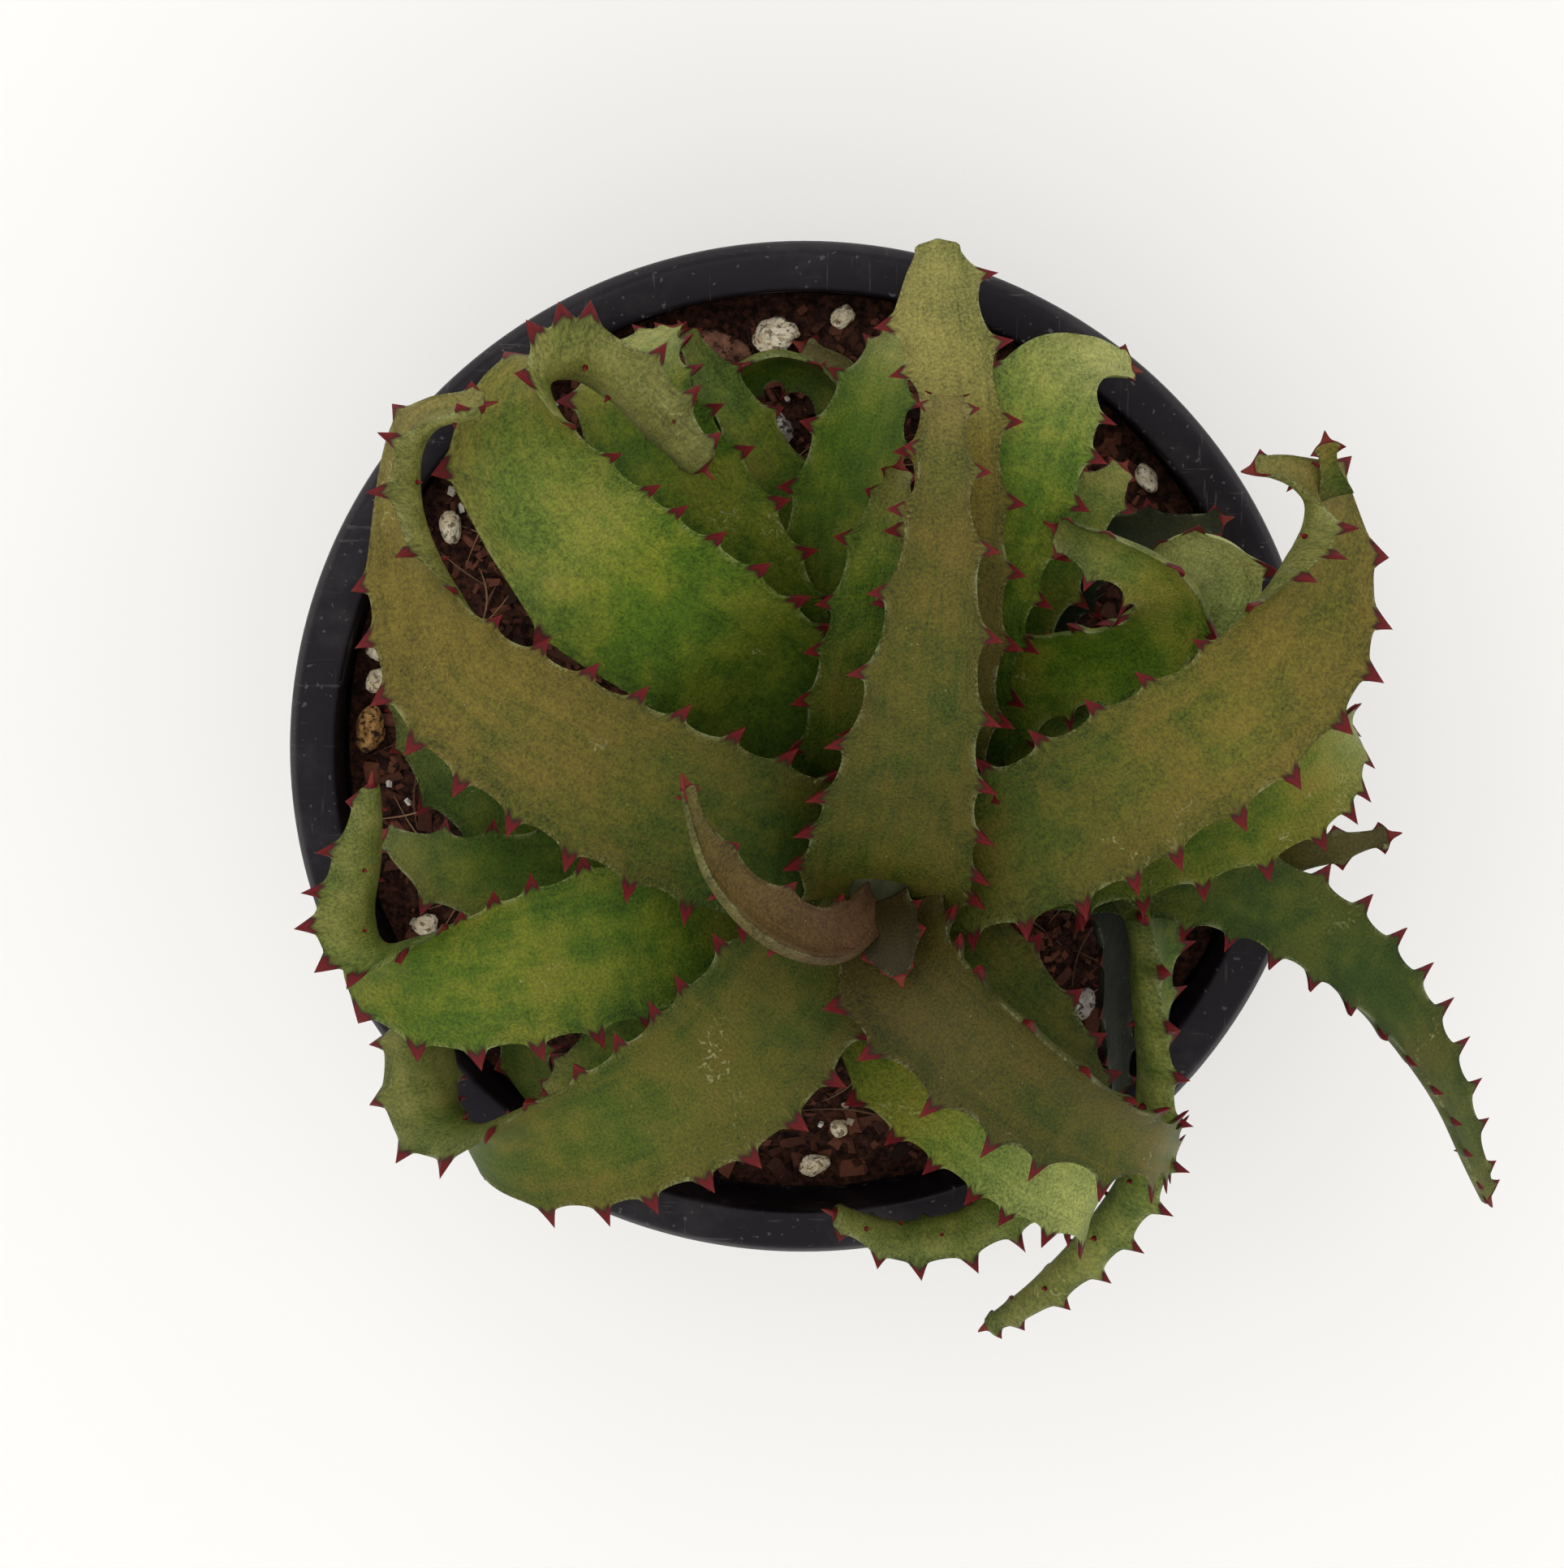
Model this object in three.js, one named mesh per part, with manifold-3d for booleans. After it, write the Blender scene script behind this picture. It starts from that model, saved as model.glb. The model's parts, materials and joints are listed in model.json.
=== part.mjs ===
// A potted aloe: a small spotted aloe with curling, toothed leaves in a 9 cm black nursery pot.
// Millimetres, +Z up. The origin is the centre of the pot's underside.
// +X is the side of the long drooping leaf and +Y the side of the longest straight leaf.
import * as THREE from 'three';
import { mergeVertices } from 'three/addons/utils/BufferGeometryUtils.js';
import Module from 'manifold-3d';

const wasm = await Module();
wasm.setup();

// Pot
const rimRadius = 45;
const rimInnerRadius = 40.7;
const potHeight = 78;
const skirtDrop = 6.6;
const skirtThickness = 1;
const wallThickness = 1;
const baseRadius = 31;
const stepHeight = 70;
const stepRadius = 40.4;
const floorThickness = 1.2;
const hubRadius = 13;
const grooveRadius = 26.5;
const grooveLift = 1.5;
const drainHoleCount = 8;
const drainHoleRadius = 3;
const drainHoleCircle = 20;
const turnSteps = 36;

// Soil
const soilHeight = 72.5;
const soilMound = 0.8;
const seatGap = 0.3;

// Stem
const stemFoot = [3.7, -4.6, 60];
const stemTop = [6.1, -7.2, 97];
const stemFootRadius = 5.2;
const stemTopRadius = 2.2;
const stemSides = 12;

// Leaves
const ringsPerSpan = 2;
const thinningToTip = 0.55;
const curlStrength = 0.8;
const channelShare = 0.35;
const sectionSteps = 40;

// Leaves from the youngest at the crown to the oldest on the soil.
// Each spine row is x, y, z, width, roll in degrees (right margin up) and fold in radians.
// curl says which margin rolls over near the tip: 1 the right one, -1 the left one, 0 neither.
const leaves = [
  { name: 'leaf_bud', thick: 1.6, curl: 0,
    spine: [
      [6.1, -7.6, 97.5, 5, 0, 0.35], [6.6, -9, 100.8, 6, 0, 0.3], [7, -10.6, 102.4, 5, 0, 0.3],
      [7.4, -12, 102.8, 2.8, 0, 0.3], [7.6, -12.8, 102.7, 1.2, 0, 0.3],
    ] },
  { name: 'leaf_young_sickle', thick: 2.4, curl: 0,
    spine: [
      [5.9, -7.6, 97, 3.2, 0, 0.6], [4.8, -8.4, 101, 4.8, 0, 0.75], [2.8, -8.8, 104.4, 5.7, 4, 0.85],
      [0.4, -8.1, 106.6, 6.3, 8, 0.9], [-2.2, -6.6, 108.4, 6.1, 12, 0.9],
      [-4.5, -4.5, 109.8, 5.5, 14, 0.9], [-6.7, -1.7, 111, 4.4, 16, 0.9],
      [-8.2, 1.5, 111.8, 2.8, 16, 0.9], [-9.2, 4.6, 112.2, 1.4, 15, 0.9],
    ] },
  { name: 'leaf_north_upper', thick: 3.4, curl: 0,
    spine: [
      [6, -9, 94.5, 14, 0, 0.6], [6.5, -5.5, 98.5, 15.2, 0, 0.5], [7.5, 0.5, 102, 13.8, 0, 0.45],
      [9, 10.5, 106.5, 10.8, 0, 0.45], [10, 19.5, 107.5, 8.4, 0, 0.45], [10.5, 26, 106.4, 6.2, 0, 0.4],
      [10.8, 30, 105, 4.8, 0, 0.35], [11, 32.6, 103.4, 3.8, 0, 0.3], [11.1, 33.8, 101.6, 3, 0, 0.3],
      [11.1, 33.7, 100, 2, 0, 0.3],
    ] },
  { name: 'leaf_southeast_upper', thick: 3.2, curl: -1,
    spine: [
      [6.5, -8.5, 96.5, 11, 0, 0.6], [8, -13.5, 101, 12, -14, 0.65], [13, -18, 104.5, 12, -22, 0.8],
      [19, -22.5, 105, 11, -24, 0.85], [24.5, -26.5, 102, 8.8, -20, 0.75],
      [29, -29.2, 97.5, 6.8, -10, 0.45], [31.2, -31.2, 91.5, 5, 0, 0.3], [32, -33, 87, 3, 0, 0.3],
    ] },
  { name: 'leaf_west_upper', thick: 3.6, curl: 1,
    spine: [
      [4, -6, 94.5, 14, 0, 0.5], [-5.5, -1.5, 100, 15, 0, 0.4], [-13, 2.5, 104, 14.8, 0, 0.4],
      [-20.5, 7, 106, 13.6, 0, 0.4], [-28, 12.5, 105, 12, 8, 0.5], [-31, 18, 102.5, 10.4, 25, 0.8],
      [-32.6, 24.5, 101.5, 8.8, 48, 1], [-31.8, 30.2, 102.5, 7, 62, 1],
      [-29.5, 32.8, 103.6, 5.6, 70, 0.9], [-25.8, 33.4, 104.5, 3.6, 74, 0.8],
    ] },
  { name: 'leaf_southwest_upper', thick: 3.6, curl: 1,
    spine: [
      [4.5, -8.5, 94.5, 12, 0, 0.5], [-1.5, -15.5, 98.5, 14.6, 0, 0.45], [-7, -21, 101.5, 15, 0, 0.45],
      [-13.5, -25, 102.5, 13.4, 5, 0.5], [-20.5, -28, 101, 12.2, 16, 0.7],
      [-27, -29.5, 98.5, 11, 42, 0.95], [-31.2, -27, 95.8, 9.4, 80, 0.95],
      [-32.1, -21.6, 93.4, 8, 98, 0.8], [-31.8, -16.8, 91.6, 4.4, 102, 0.7],
    ] },
  { name: 'leaf_east_upper', thick: 3.6, curl: -1,
    spine: [
      [8, -6, 94, 13, 0, 0.5], [17, -2.5, 99, 14, 0, 0.45], [26.5, 3.5, 103, 14.2, -3, 0.45],
      [34.5, 9.5, 105, 13.4, -6, 0.5], [38.8, 15, 105, 13, -14, 0.8], [41, 20, 103, 11.4, -32, 1.2],
      [41.6, 23.8, 102.6, 8.8, -50, 1.25], [40.6, 26.7, 103.4, 6.2, -54, 1.1],
      [38.4, 28.2, 104.4, 3.8, -54, 0.9], [36.2, 28.7, 105.2, 2.4, -54, 0.8],
      [34.8, 28.5, 105.6, 1.2, -54, 0.8],
    ] },
  { name: 'leaf_north_middle', thick: 3.2, curl: 0,
    spine: [
      [6.5, -4, 91.5, 13, 0, 0.5], [9, 2.5, 97, 12.5, 0, 0.45], [11, 13.5, 100, 11, 0, 0.45],
      [12, 25, 100, 9, 0, 0.4], [12, 34, 98, 7.8, 0, 0.35], [10.7, 39.8, 95.8, 8.3, 0, 0.3],
      [10.6, 43.1, 94, 6.9, 0, 0.3], [10.6, 44.7, 93, 4.4, 0, 0.3],
    ] },
  { name: 'leaf_west_middle', thick: 3.4, curl: 1,
    spine: [
      [3, -7.5, 90.5, 11, 0, 0.5], [-7.5, -9.5, 94, 14, 0, 0.4], [-15, -11, 97.5, 14.6, 0, 0.4],
      [-23, -13, 99.5, 13.6, 0, 0.5], [-30.5, -14.2, 100, 12.4, 16, 0.75],
      [-36, -12.9, 99.6, 11.4, 56, 0.85], [-37.4, -9, 99.6, 10.2, 96, 0.75],
      [-36.4, -3.8, 100.4, 8.6, 108, 0.6], [-35.3, 1.2, 101.8, 4.4, 114, 0.5],
      [-35, 2.5, 102.2, 2.8, 114, 0.5],
    ] },
  { name: 'leaf_northwest_middle', thick: 3.6, curl: 1,
    spine: [
      [4, -4, 88.5, 13, 0, 0.5], [-3, 8.5, 93, 15, 0, 0.4], [-8.5, 14, 97.5, 16, 0, 0.4],
      [-16, 20, 99.5, 15.6, 0, 0.4], [-21, 26, 100, 14.2, 4, 0.5], [-23.2, 31.6, 99.4, 12, 14, 0.8],
      [-22, 36, 98.4, 9.4, 52, 0.9], [-18.4, 37, 97.6, 8.2, 90, 0.8], [-14.6, 35.2, 98, 7.6, 104, 0.7],
      [-11.4, 32, 98.6, 6.8, 110, 0.6], [-8.6, 28.6, 99, 4.4, 112, 0.5],
    ] },
  { name: 'leaf_east_middle', thick: 3.2, curl: -1,
    spine: [
      [8.5, -6, 90, 11, 0, 0.5], [20.5, -4, 94.5, 12, 0, 0.45], [29.5, -1.5, 97.5, 11.4, 0, 0.45],
      [37.5, 1, 98, 10.6, 0, 0.45], [43, 3.5, 96, 8.4, -10, 0.6], [45.5, 5.5, 93, 5, -20, 0.7],
      [45.5, 6, 90, 1.6, -20, 0.6],
    ] },
  { name: 'leaf_southeast_middle', thick: 3, curl: 0,
    spine: [
      [8, -9, 90, 10, 0, 0.5], [14.5, -15, 94.5, 11.5, 0, 0.45], [19.5, -21.5, 96, 10.5, 0, 0.5],
      [23, -28.5, 94, 7.5, 0, 0.5], [25.5, -33.5, 90, 1.6, 0, 0.5],
    ] },
  { name: 'leaf_south_middle', thick: 2.8, curl: 0,
    spine: [
      [5.5, -10, 88, 10, 0, 0.5], [8, -21.5, 92, 11.4, 0, 0.45], [13.6, -26.6, 94, 11, 0, 0.4],
      [19.8, -31.4, 94.5, 10, 0, 0.4], [24.8, -34.6, 92.6, 9, 0, 0.4], [25.6, -36, 89.5, 7.8, 0, 0.4],
      [24.2, -36.4, 87, 7.2, 0, 0.4], [20, -37.2, 85, 6.6, 0, 0.4], [13.5, -40.6, 84.5, 5.8, 0, 0.5],
      [8, -41, 85, 5, 0, 0.5], [3, -38.4, 86.5, 3, 0, 0.5],
    ] },
  { name: 'leaf_north_left_middle', thick: 3, curl: 0,
    spine: [
      [5.5, -3.5, 90, 11, 0, 0.5], [4.5, 6, 96.5, 10.5, 0, 0.45], [5.5, 14.5, 99, 9, 0, 0.45],
      [6.5, 22.5, 99, 6.5, 0, 0.5], [7.5, 27.5, 96.5, 1.6, 0, 0.5],
    ] },
  { name: 'leaf_northeast_middle', thick: 3, curl: -1,
    spine: [
      [6.5, -3.5, 86.5, 9, 0, 0.5], [11.5, 6.5, 91.5, 10, 0, 0.45], [14, 17.5, 95.5, 10.4, 0, 0.45],
      [17, 27, 97.5, 10.6, 0, 0.45], [18.8, 32, 96.6, 10.6, -3, 0.5], [20.8, 35.4, 94.4, 8.6, -6, 0.5],
      [23.8, 36.2, 91.8, 5.4, -8, 0.5], [26.6, 35.2, 89.8, 2.2, -8, 0.5],
    ] },
  { name: 'leaf_north_lower', thick: 3.2, curl: 0,
    spine: [
      [4.5, -3, 84, 11, 0, 0.5], [2.5, 11.5, 88.5, 11, 0, 0.45], [3, 21.5, 90.5, 10.6, 0, 0.45],
      [4.5, 29.5, 90, 8.6, 0, 0.5], [6.5, 35, 86.5, 5.6, 0, 0.55], [7.5, 37.5, 82.5, 1.6, 0, 0.6],
    ] },
  { name: 'leaf_northwest_lower', thick: 3, curl: 0,
    spine: [
      [4, -3.5, 86, 12, 0, 0.5], [-3, 12, 91, 13, 0, 0.45], [-8, 22, 93.5, 13, 0, 0.45],
      [-12.5, 29.5, 93.5, 12, 0, 0.5], [-14, 34, 91, 10.5, 0, 0.5], [-13, 37, 86.5, 7, 0, 0.6],
      [-11, 38, 82, 1.6, 0, 0.6],
    ] },
  { name: 'leaf_northeast_lower', thick: 3, curl: 0,
    spine: [
      [7.5, -3.5, 84.5, 9, 0, 0.6], [14.5, 5.5, 88.5, 8.6, 0, 0.5], [20.7, 10.2, 91.5, 8.2, 0, 0.5],
      [25.2, 11.4, 93.8, 8, -4, 0.55], [28.6, 13.8, 96.6, 7.8, -12, 0.7],
      [29, 17.2, 99.6, 7, -22, 0.8], [26.4, 19.8, 101, 5.6, -28, 0.8],
      [23, 21.4, 100.6, 4.8, -30, 0.8], [20.3, 22.8, 99, 2.8, -30, 0.7],
    ] },
  { name: 'leaf_northeast_outer', thick: 2.8, curl: -1,
    spine: [
      [8, -3.5, 82.5, 8, 0, 0.5], [20, 6.6, 86.5, 8, 0, 0.5], [28, 10.8, 90.4, 8, 0, 0.5],
      [32.4, 14, 92.8, 8, -8, 0.6], [34.2, 17.4, 95, 7.2, -24, 0.7], [32.8, 20, 97, 6.2, -36, 0.8],
      [30.2, 20.8, 97.8, 4.6, -42, 0.8], [28.2, 20.4, 97.4, 2.2, -46, 0.8],
    ] },
  { name: 'leaf_southeast_drooping', thick: 3.2, curl: 0,
    spine: [
      [9, -7, 82.5, 9, 0, 0.5], [20, -6.4, 87, 8.4, 20, 0.6], [27.4, -6.4, 90.4, 8, 55, 0.7],
      [29.9, -11, 91.5, 7.6, 85, 0.75], [30.2, -17, 91, 7.4, 100, 0.75],
      [30.8, -26, 88.8, 7, 118, 0.75], [30, -34.5, 85.6, 6.4, 130, 0.7],
      [25.8, -42.5, 82.2, 5.2, 136, 0.7], [21, -48, 79.8, 3.6, 140, 0.7],
      [16.8, -51.3, 78.2, 1.8, 140, 0.6],
    ] },
  { name: 'leaf_east_drooping', thick: 3, curl: 1,
    spine: [
      [9, -6.5, 86, 10, 0, 0.5], [26.5, -6.5, 90.5, 9.4, 0, 0.5], [36.5, -8, 92.5, 8.8, 5, 0.55],
      [44, -12.4, 91, 8.2, 12, 0.6], [51, -19.5, 87, 7, 20, 0.75], [56.5, -28, 82.5, 5.2, 28, 0.85],
      [59.5, -35, 79, 3.6, 32, 0.8], [61.4, -39.6, 77, 2, 35, 0.7],
    ] },
  { name: 'leaf_north_low', thick: 2.4, curl: 0,
    spine: [
      [4, -2, 80, 7, 0, 0.5], [0.5, 12, 83, 7, 0, 0.5], [-2, 25, 84.5, 6, 0, 0.55],
      [-5.5, 31, 84, 5, 0, 0.6], [-8.5, 35, 82.5, 3.8, 0, 0.6], [-10, 37.5, 82, 1.6, 0, 0.6],
    ] },
  { name: 'leaf_north_arch', thick: 2.2, curl: 0,
    spine: [
      [3.5, -2, 78, 6, 0, 0.5], [-2, 12, 80, 6, 0, 0.5], [-5, 24.5, 81, 5.5, -20, 0.5],
      [-6, 32, 81.5, 5, -45, 0.5], [-2.5, 34.5, 81, 5.2, -60, 0.5], [1.5, 32.5, 80, 4.6, -60, 0.5],
      [2, 28.5, 78.5, 1.6, -60, 0.5],
    ] },
  { name: 'leaf_northeast_low', thick: 2.2, curl: 0,
    spine: [
      [7.5, -3, 80, 6, 0, 0.5], [17, 11, 83.5, 6.5, 0, 0.5], [21, 18.5, 85, 6.8, 0, 0.5],
      [23.5, 22.5, 84, 6, 0, 0.5], [26, 25, 82, 3.6, 0, 0.5], [27, 26, 80.5, 1.6, 0, 0.5],
    ] },
  { name: 'leaf_northeast_dark', thick: 2.2, curl: 0,
    spine: [
      [7.5, -3, 78, 6, 0, 0.5], [16.5, 7, 80, 6, 0, 0.5], [25.5, 19.5, 81.5, 6, 0, 0.5],
      [30.5, 20.5, 81, 4.6, 0, 0.5], [35.5, 21.5, 80, 1.6, 0, 0.5],
    ] },
  { name: 'leaf_east_low', thick: 2.2, curl: 0,
    spine: [
      [9, -5.5, 79.5, 6, 0, 0.5], [25, -7.5, 84.5, 6, 0, 0.5], [35, -6, 89, 5.4, 0, 0.5],
      [42.5, -5, 91, 3.6, 0, 0.6], [48.5, -3.5, 92, 1.6, 0, 0.6],
    ] },
  { name: 'leaf_southeast_dark', thick: 2.2, curl: 0,
    spine: [
      [8.5, -7.5, 80, 7, 0, 0.5], [18, -8.5, 83, 6.5, 20, 0.5], [25, -8.8, 85.4, 6, 50, 0.5],
      [26.7, -13, 86, 5.4, 60, 0.5], [27, -20, 85.4, 5, 60, 0.5], [27.6, -28, 83, 2.4, 60, 0.5],
    ] },
  { name: 'leaf_west_low', thick: 2.6, curl: 0,
    spine: [
      [1.5, -7, 82.5, 11, 0, 0.5], [-12, -9, 85, 11, 0, 0.45], [-21.5, -8.5, 86.5, 10, 0, 0.45],
      [-29, -8, 86, 8, 0, 0.5], [-34, -6.5, 84, 5, 0, 0.5], [-36, -5.5, 82, 1.6, 0, 0.5],
    ] },
  { name: 'leaf_west_dark', thick: 2.4, curl: 0,
    spine: [
      [1, -6.5, 79, 9, 0, 0.5], [-13.5, -8, 80.5, 9, 0, 0.5], [-24.5, -4.5, 81.5, 8.5, 0, 0.5],
      [-31, 0, 81, 6.5, 0, 0.5], [-34, 4, 80, 3.4, 0, 0.6], [-35, 6, 79.5, 1.6, 0, 0.6],
    ] },
  { name: 'leaf_southwest_low', thick: 2.6, curl: 0,
    spine: [
      [2.5, -9, 84, 10, 0, 0.5], [-6.5, -18, 87.5, 10.5, 0, 0.5], [-14, -22, 89.5, 9, 0, 0.5],
      [-18.5, -25, 89.5, 7, 0, 0.5], [-22, -27, 88, 1.6, 0, 0.5],
    ] },
  { name: 'leaf_southwest_dark', thick: 2.2, curl: 0,
    spine: [
      [1.5, -8.5, 80, 7, 0, 0.5], [-10, -16.5, 82, 7, 0, 0.5], [-19, -17.5, 84.5, 6, 0, 0.5],
      [-24, -21, 85, 5.4, 20, 0.6], [-23.5, -26.5, 84.5, 4.6, 30, 0.6],
      [-19, -31.5, 83.5, 1.6, 30, 0.5],
    ] },
  { name: 'leaf_north_dry', thick: 2, curl: 0,
    spine: [
      [5, -1.5, 76.5, 5, 0, 0.5], [5, 11.5, 77, 5, 0, 0.5], [4.5, 27, 78, 4.2, 0, 0.5],
      [3.5, 34, 78, 3, 0, 0.5], [0, 36, 77.5, 1.6, 0, 0.5],
    ] },
];

// Loose stones on the soil: name, x, y, half sizes along x, y and z, turn in degrees.
const stones = [
  ['stone_cream_north', -2.5, 36.7, 2.1, 1.7, 1.5, 20],
  ['stone_red_chip', -7.2, 35.8, 2.6, 1.6, 0.9, -15],
  ['stone_pumice', -2.8, 28.6, 2.1, 2, 1.7, 40],
  ['stone_cream_northwest', -30.7, 20.2, 1.1, 1.6, 1.2, 10],
  ['stone_cream_west_upper', -37.2, 9.2, 1.2, 1, 1, 0],
  ['stone_cream_west_lower', -37.4, 6.6, 1.3, 1.1, 1.1, 50],
  ['stone_lava', -38.2, 2.4, 1.5, 2.2, 1.6, -10],
  ['stone_white_north', 3.4, 38.4, 1.2, 0.9, 0.9, 30],
  ['stone_cream_east', 29.9, 24.4, 1, 1.4, 1, 25],
  ['stone_cream_southwest', -33.6, -15.4, 1.3, 1, 1, 15],
  ['stone_cream_south', 1.1, -37.6, 1.5, 1, 1, 20],
  ['stone_white_south', 3.2, -34.3, 1, 0.9, 0.9, 0],
  ['stone_tan_east', 35.2, -14.6, 1.4, 1, 1, -20],
  ['stone_pale_southeast', 24.8, -22.6, 1.7, 1.3, 1.2, 70],
];

const plastic = new THREE.MeshStandardMaterial({ color: 0x2b282d, roughness: 0.55, metalness: 0 });
const earth = new THREE.MeshStandardMaterial({ color: 0x3a211a, roughness: 1, metalness: 0 });
const bark = new THREE.MeshStandardMaterial({ color: 0x5a6b2c, roughness: 0.8, metalness: 0 });
const bronzeSkin = new THREE.MeshStandardMaterial({ color: 0x6d6a32, roughness: 0.6, metalness: 0 });
const greenSkin = new THREE.MeshStandardMaterial({ color: 0x6f8a2c, roughness: 0.6, metalness: 0 });
const darkSkin = new THREE.MeshStandardMaterial({ color: 0x3c5636, roughness: 0.6, metalness: 0 });
const pumice = new THREE.MeshStandardMaterial({ color: 0xd8c9a8, roughness: 0.95, metalness: 0 });
const lava = new THREE.MeshStandardMaterial({ color: 0x9a5a2a, roughness: 0.95, metalness: 0 });

// A closed geometry as a solid, and a solid back as a geometry.
function toSolid(geometry) {
  const bare = geometry.clone();
  bare.deleteAttribute('normal');
  bare.deleteAttribute('uv');
  const merged = mergeVertices(bare, 1e-4);
  return new wasm.Manifold(new wasm.Mesh({
    numProp: 3,
    vertProperties: new Float32Array(merged.attributes.position.array),
    triVerts: new Uint32Array(merged.index.array),
  }));
}

function toGeometry(solid) {
  const mesh = solid.getMesh();
  const geometry = new THREE.BufferGeometry();
  geometry.setAttribute('position', new THREE.BufferAttribute(new Float32Array(mesh.vertProperties), 3));
  geometry.setIndex(new THREE.BufferAttribute(new Uint32Array(mesh.triVerts), 1));
  geometry.computeVertexNormals();
  return geometry;
}

// A LatheGeometry turns about Y, so it is stood up on Z.
function turned(profile, steps) {
  const points = profile.map(([radius, height]) => new THREE.Vector2(radius, height));
  return new THREE.LatheGeometry(points, steps).rotateX(Math.PI / 2);
}

function piece(name, geometry, material) {
  const mesh = new THREE.Mesh(geometry, material);
  mesh.name = name;
  return mesh;
}

// The pot: a thin tapered wall with a stacking step, a flat rim, a skirt turned down from
// its edge, and a floor with a raised groove that holds the drain holes.
function potGeometry() {
  const wallLean = (stepRadius - baseRadius) / stepHeight;
  const underRim = potHeight - 1.2;
  const innerFloorRadius = baseRadius - wallThickness + wallLean * floorThickness;
  const grooveFloor = grooveLift + floorThickness;
  const profile = [
    [0, 0], [hubRadius, 0], [hubRadius + 1, grooveLift], [grooveRadius, grooveLift],
    [grooveRadius + 1, 0], [baseRadius - 0.6, 0], [baseRadius, 0.6],
    [stepRadius, stepHeight], [rimInnerRadius + wallThickness, stepHeight + 1],
    [rimInnerRadius + wallThickness, underRim], [rimRadius - skirtThickness - 0.2, underRim],
    [rimRadius - skirtThickness - 0.6, potHeight - skirtDrop],
    [rimRadius - 0.5, potHeight - skirtDrop], [rimRadius, potHeight - 1.3],
    [rimRadius - 0.3, potHeight - 0.35], [rimRadius - 1, potHeight],
    [rimInnerRadius + 0.5, potHeight], [rimInnerRadius, potHeight - 0.5],
    [rimInnerRadius, stepHeight + 1.6], [stepRadius - wallThickness, stepHeight + 0.4],
    [innerFloorRadius, floorThickness], [grooveRadius + 0.4, floorThickness],
    [grooveRadius - 0.6, grooveFloor], [hubRadius + 1.6, grooveFloor],
    [hubRadius + 0.6, floorThickness], [0, floorThickness],
  ];
  let pot = toSolid(turned(profile, turnSteps));
  for (let i = 0; i < drainHoleCount; i += 1) {
    const angle = ((i + 0.5) / drainHoleCount) * 2 * Math.PI;
    const drill = new THREE.CylinderGeometry(drainHoleRadius, drainHoleRadius, 12, 12);
    drill.rotateX(Math.PI / 2);
    drill.translate(drainHoleCircle * Math.cos(angle), drainHoleCircle * Math.sin(angle), 2);
    pot = pot.subtract(toSolid(drill));
  }
  return toGeometry(pot);
}

// The potting mix fills the pot to a little below the rim, with a slight mound at the middle.
function soilSolid() {
  const wallLean = (stepRadius - baseRadius) / stepHeight;
  const wallOffset = wallThickness + seatGap;
  const floorTop = floorThickness + seatGap;
  const grooveTop = grooveLift + floorThickness + seatGap;
  const profile = [
    [0, floorTop], [hubRadius + 0.2, floorTop], [hubRadius + 1.4, grooveTop],
    [grooveRadius - 0.4, grooveTop], [grooveRadius + 0.8, floorTop],
    [baseRadius - wallOffset + wallLean * floorTop, floorTop],
    [stepRadius - wallOffset, stepHeight + 0.5],
    [rimInnerRadius - seatGap, stepHeight + 1.8], [rimInnerRadius - seatGap, soilHeight - 0.3],
    [rimInnerRadius - 1, soilHeight], [rimInnerRadius * 0.7, soilHeight + soilMound * 0.6],
    [rimInnerRadius * 0.35, soilHeight + soilMound], [0, soilHeight + soilMound],
  ];
  return toSolid(turned(profile, turnSteps));
}

// The height of the soil's surface at a distance from the pot's middle.
function soilSurface(radius) {
  const share = THREE.MathUtils.clamp((rimInnerRadius - 1 - radius) / (rimInnerRadius * 0.65), 0, 1);
  return soilHeight + soilMound * share;
}

// The stem leans slightly; grow widens it for the clearance that its neighbours keep.
function stemSolid(grow) {
  const foot = new THREE.Vector3(...stemFoot);
  const top = new THREE.Vector3(...stemTop);
  const along = new THREE.Vector3().subVectors(top, foot);
  const length = along.length();
  const shape = new THREE.CylinderGeometry(
    stemTopRadius + grow, stemFootRadius + grow, length + 2 * grow, stemSides, 6);
  shape.translate(0, length / 2, 0);
  shape.applyQuaternion(
    new THREE.Quaternion().setFromUnitVectors(new THREE.Vector3(0, 1, 0), along.normalize()));
  shape.translate(foot.x, foot.y, foot.z);
  return toSolid(shape);
}

// The spine's values at one place: position on a smooth curve, the rest blended between rows.
function spineAt(curve, spine, share) {
  const place = curve.getUtoTmapping(share) * (spine.length - 1);
  const row = Math.min(Math.floor(place), spine.length - 2);
  const blend = (column) => THREE.MathUtils.lerp(spine[row][column], spine[row + 1][column], place - row);
  return {
    point: curve.getPointAt(share),
    tangent: curve.getTangentAt(share),
    width: blend(3),
    roll: THREE.MathUtils.degToRad(blend(4)),
    fold: blend(5),
  };
}

// The leaf's cross section bends by fold radians to each side. Where the fold is deep, the curl
// side bends further and the other side flattens. Returns the place and slope at each share
// of the half width, measured from the midrib.
function sectionPoint(width, fold, curl, share) {
  const lean = curl * curlStrength * THREE.MathUtils.clamp((fold - 0.5) / 0.5, 0, 1);
  const slopeAt = (u) => fold * u * (1 + lean * u);
  const step = share / sectionSteps;
  let across = 0;
  let height = 0;
  for (let i = 0; i < sectionSteps; i += 1) {
    const slope = slopeAt((i + 0.5) * step);
    across += Math.cos(slope) * step * (width / 2);
    height += Math.sin(slope) * step * (width / 2);
  }
  return { across, height, slope: slopeAt(share) };
}

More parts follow.
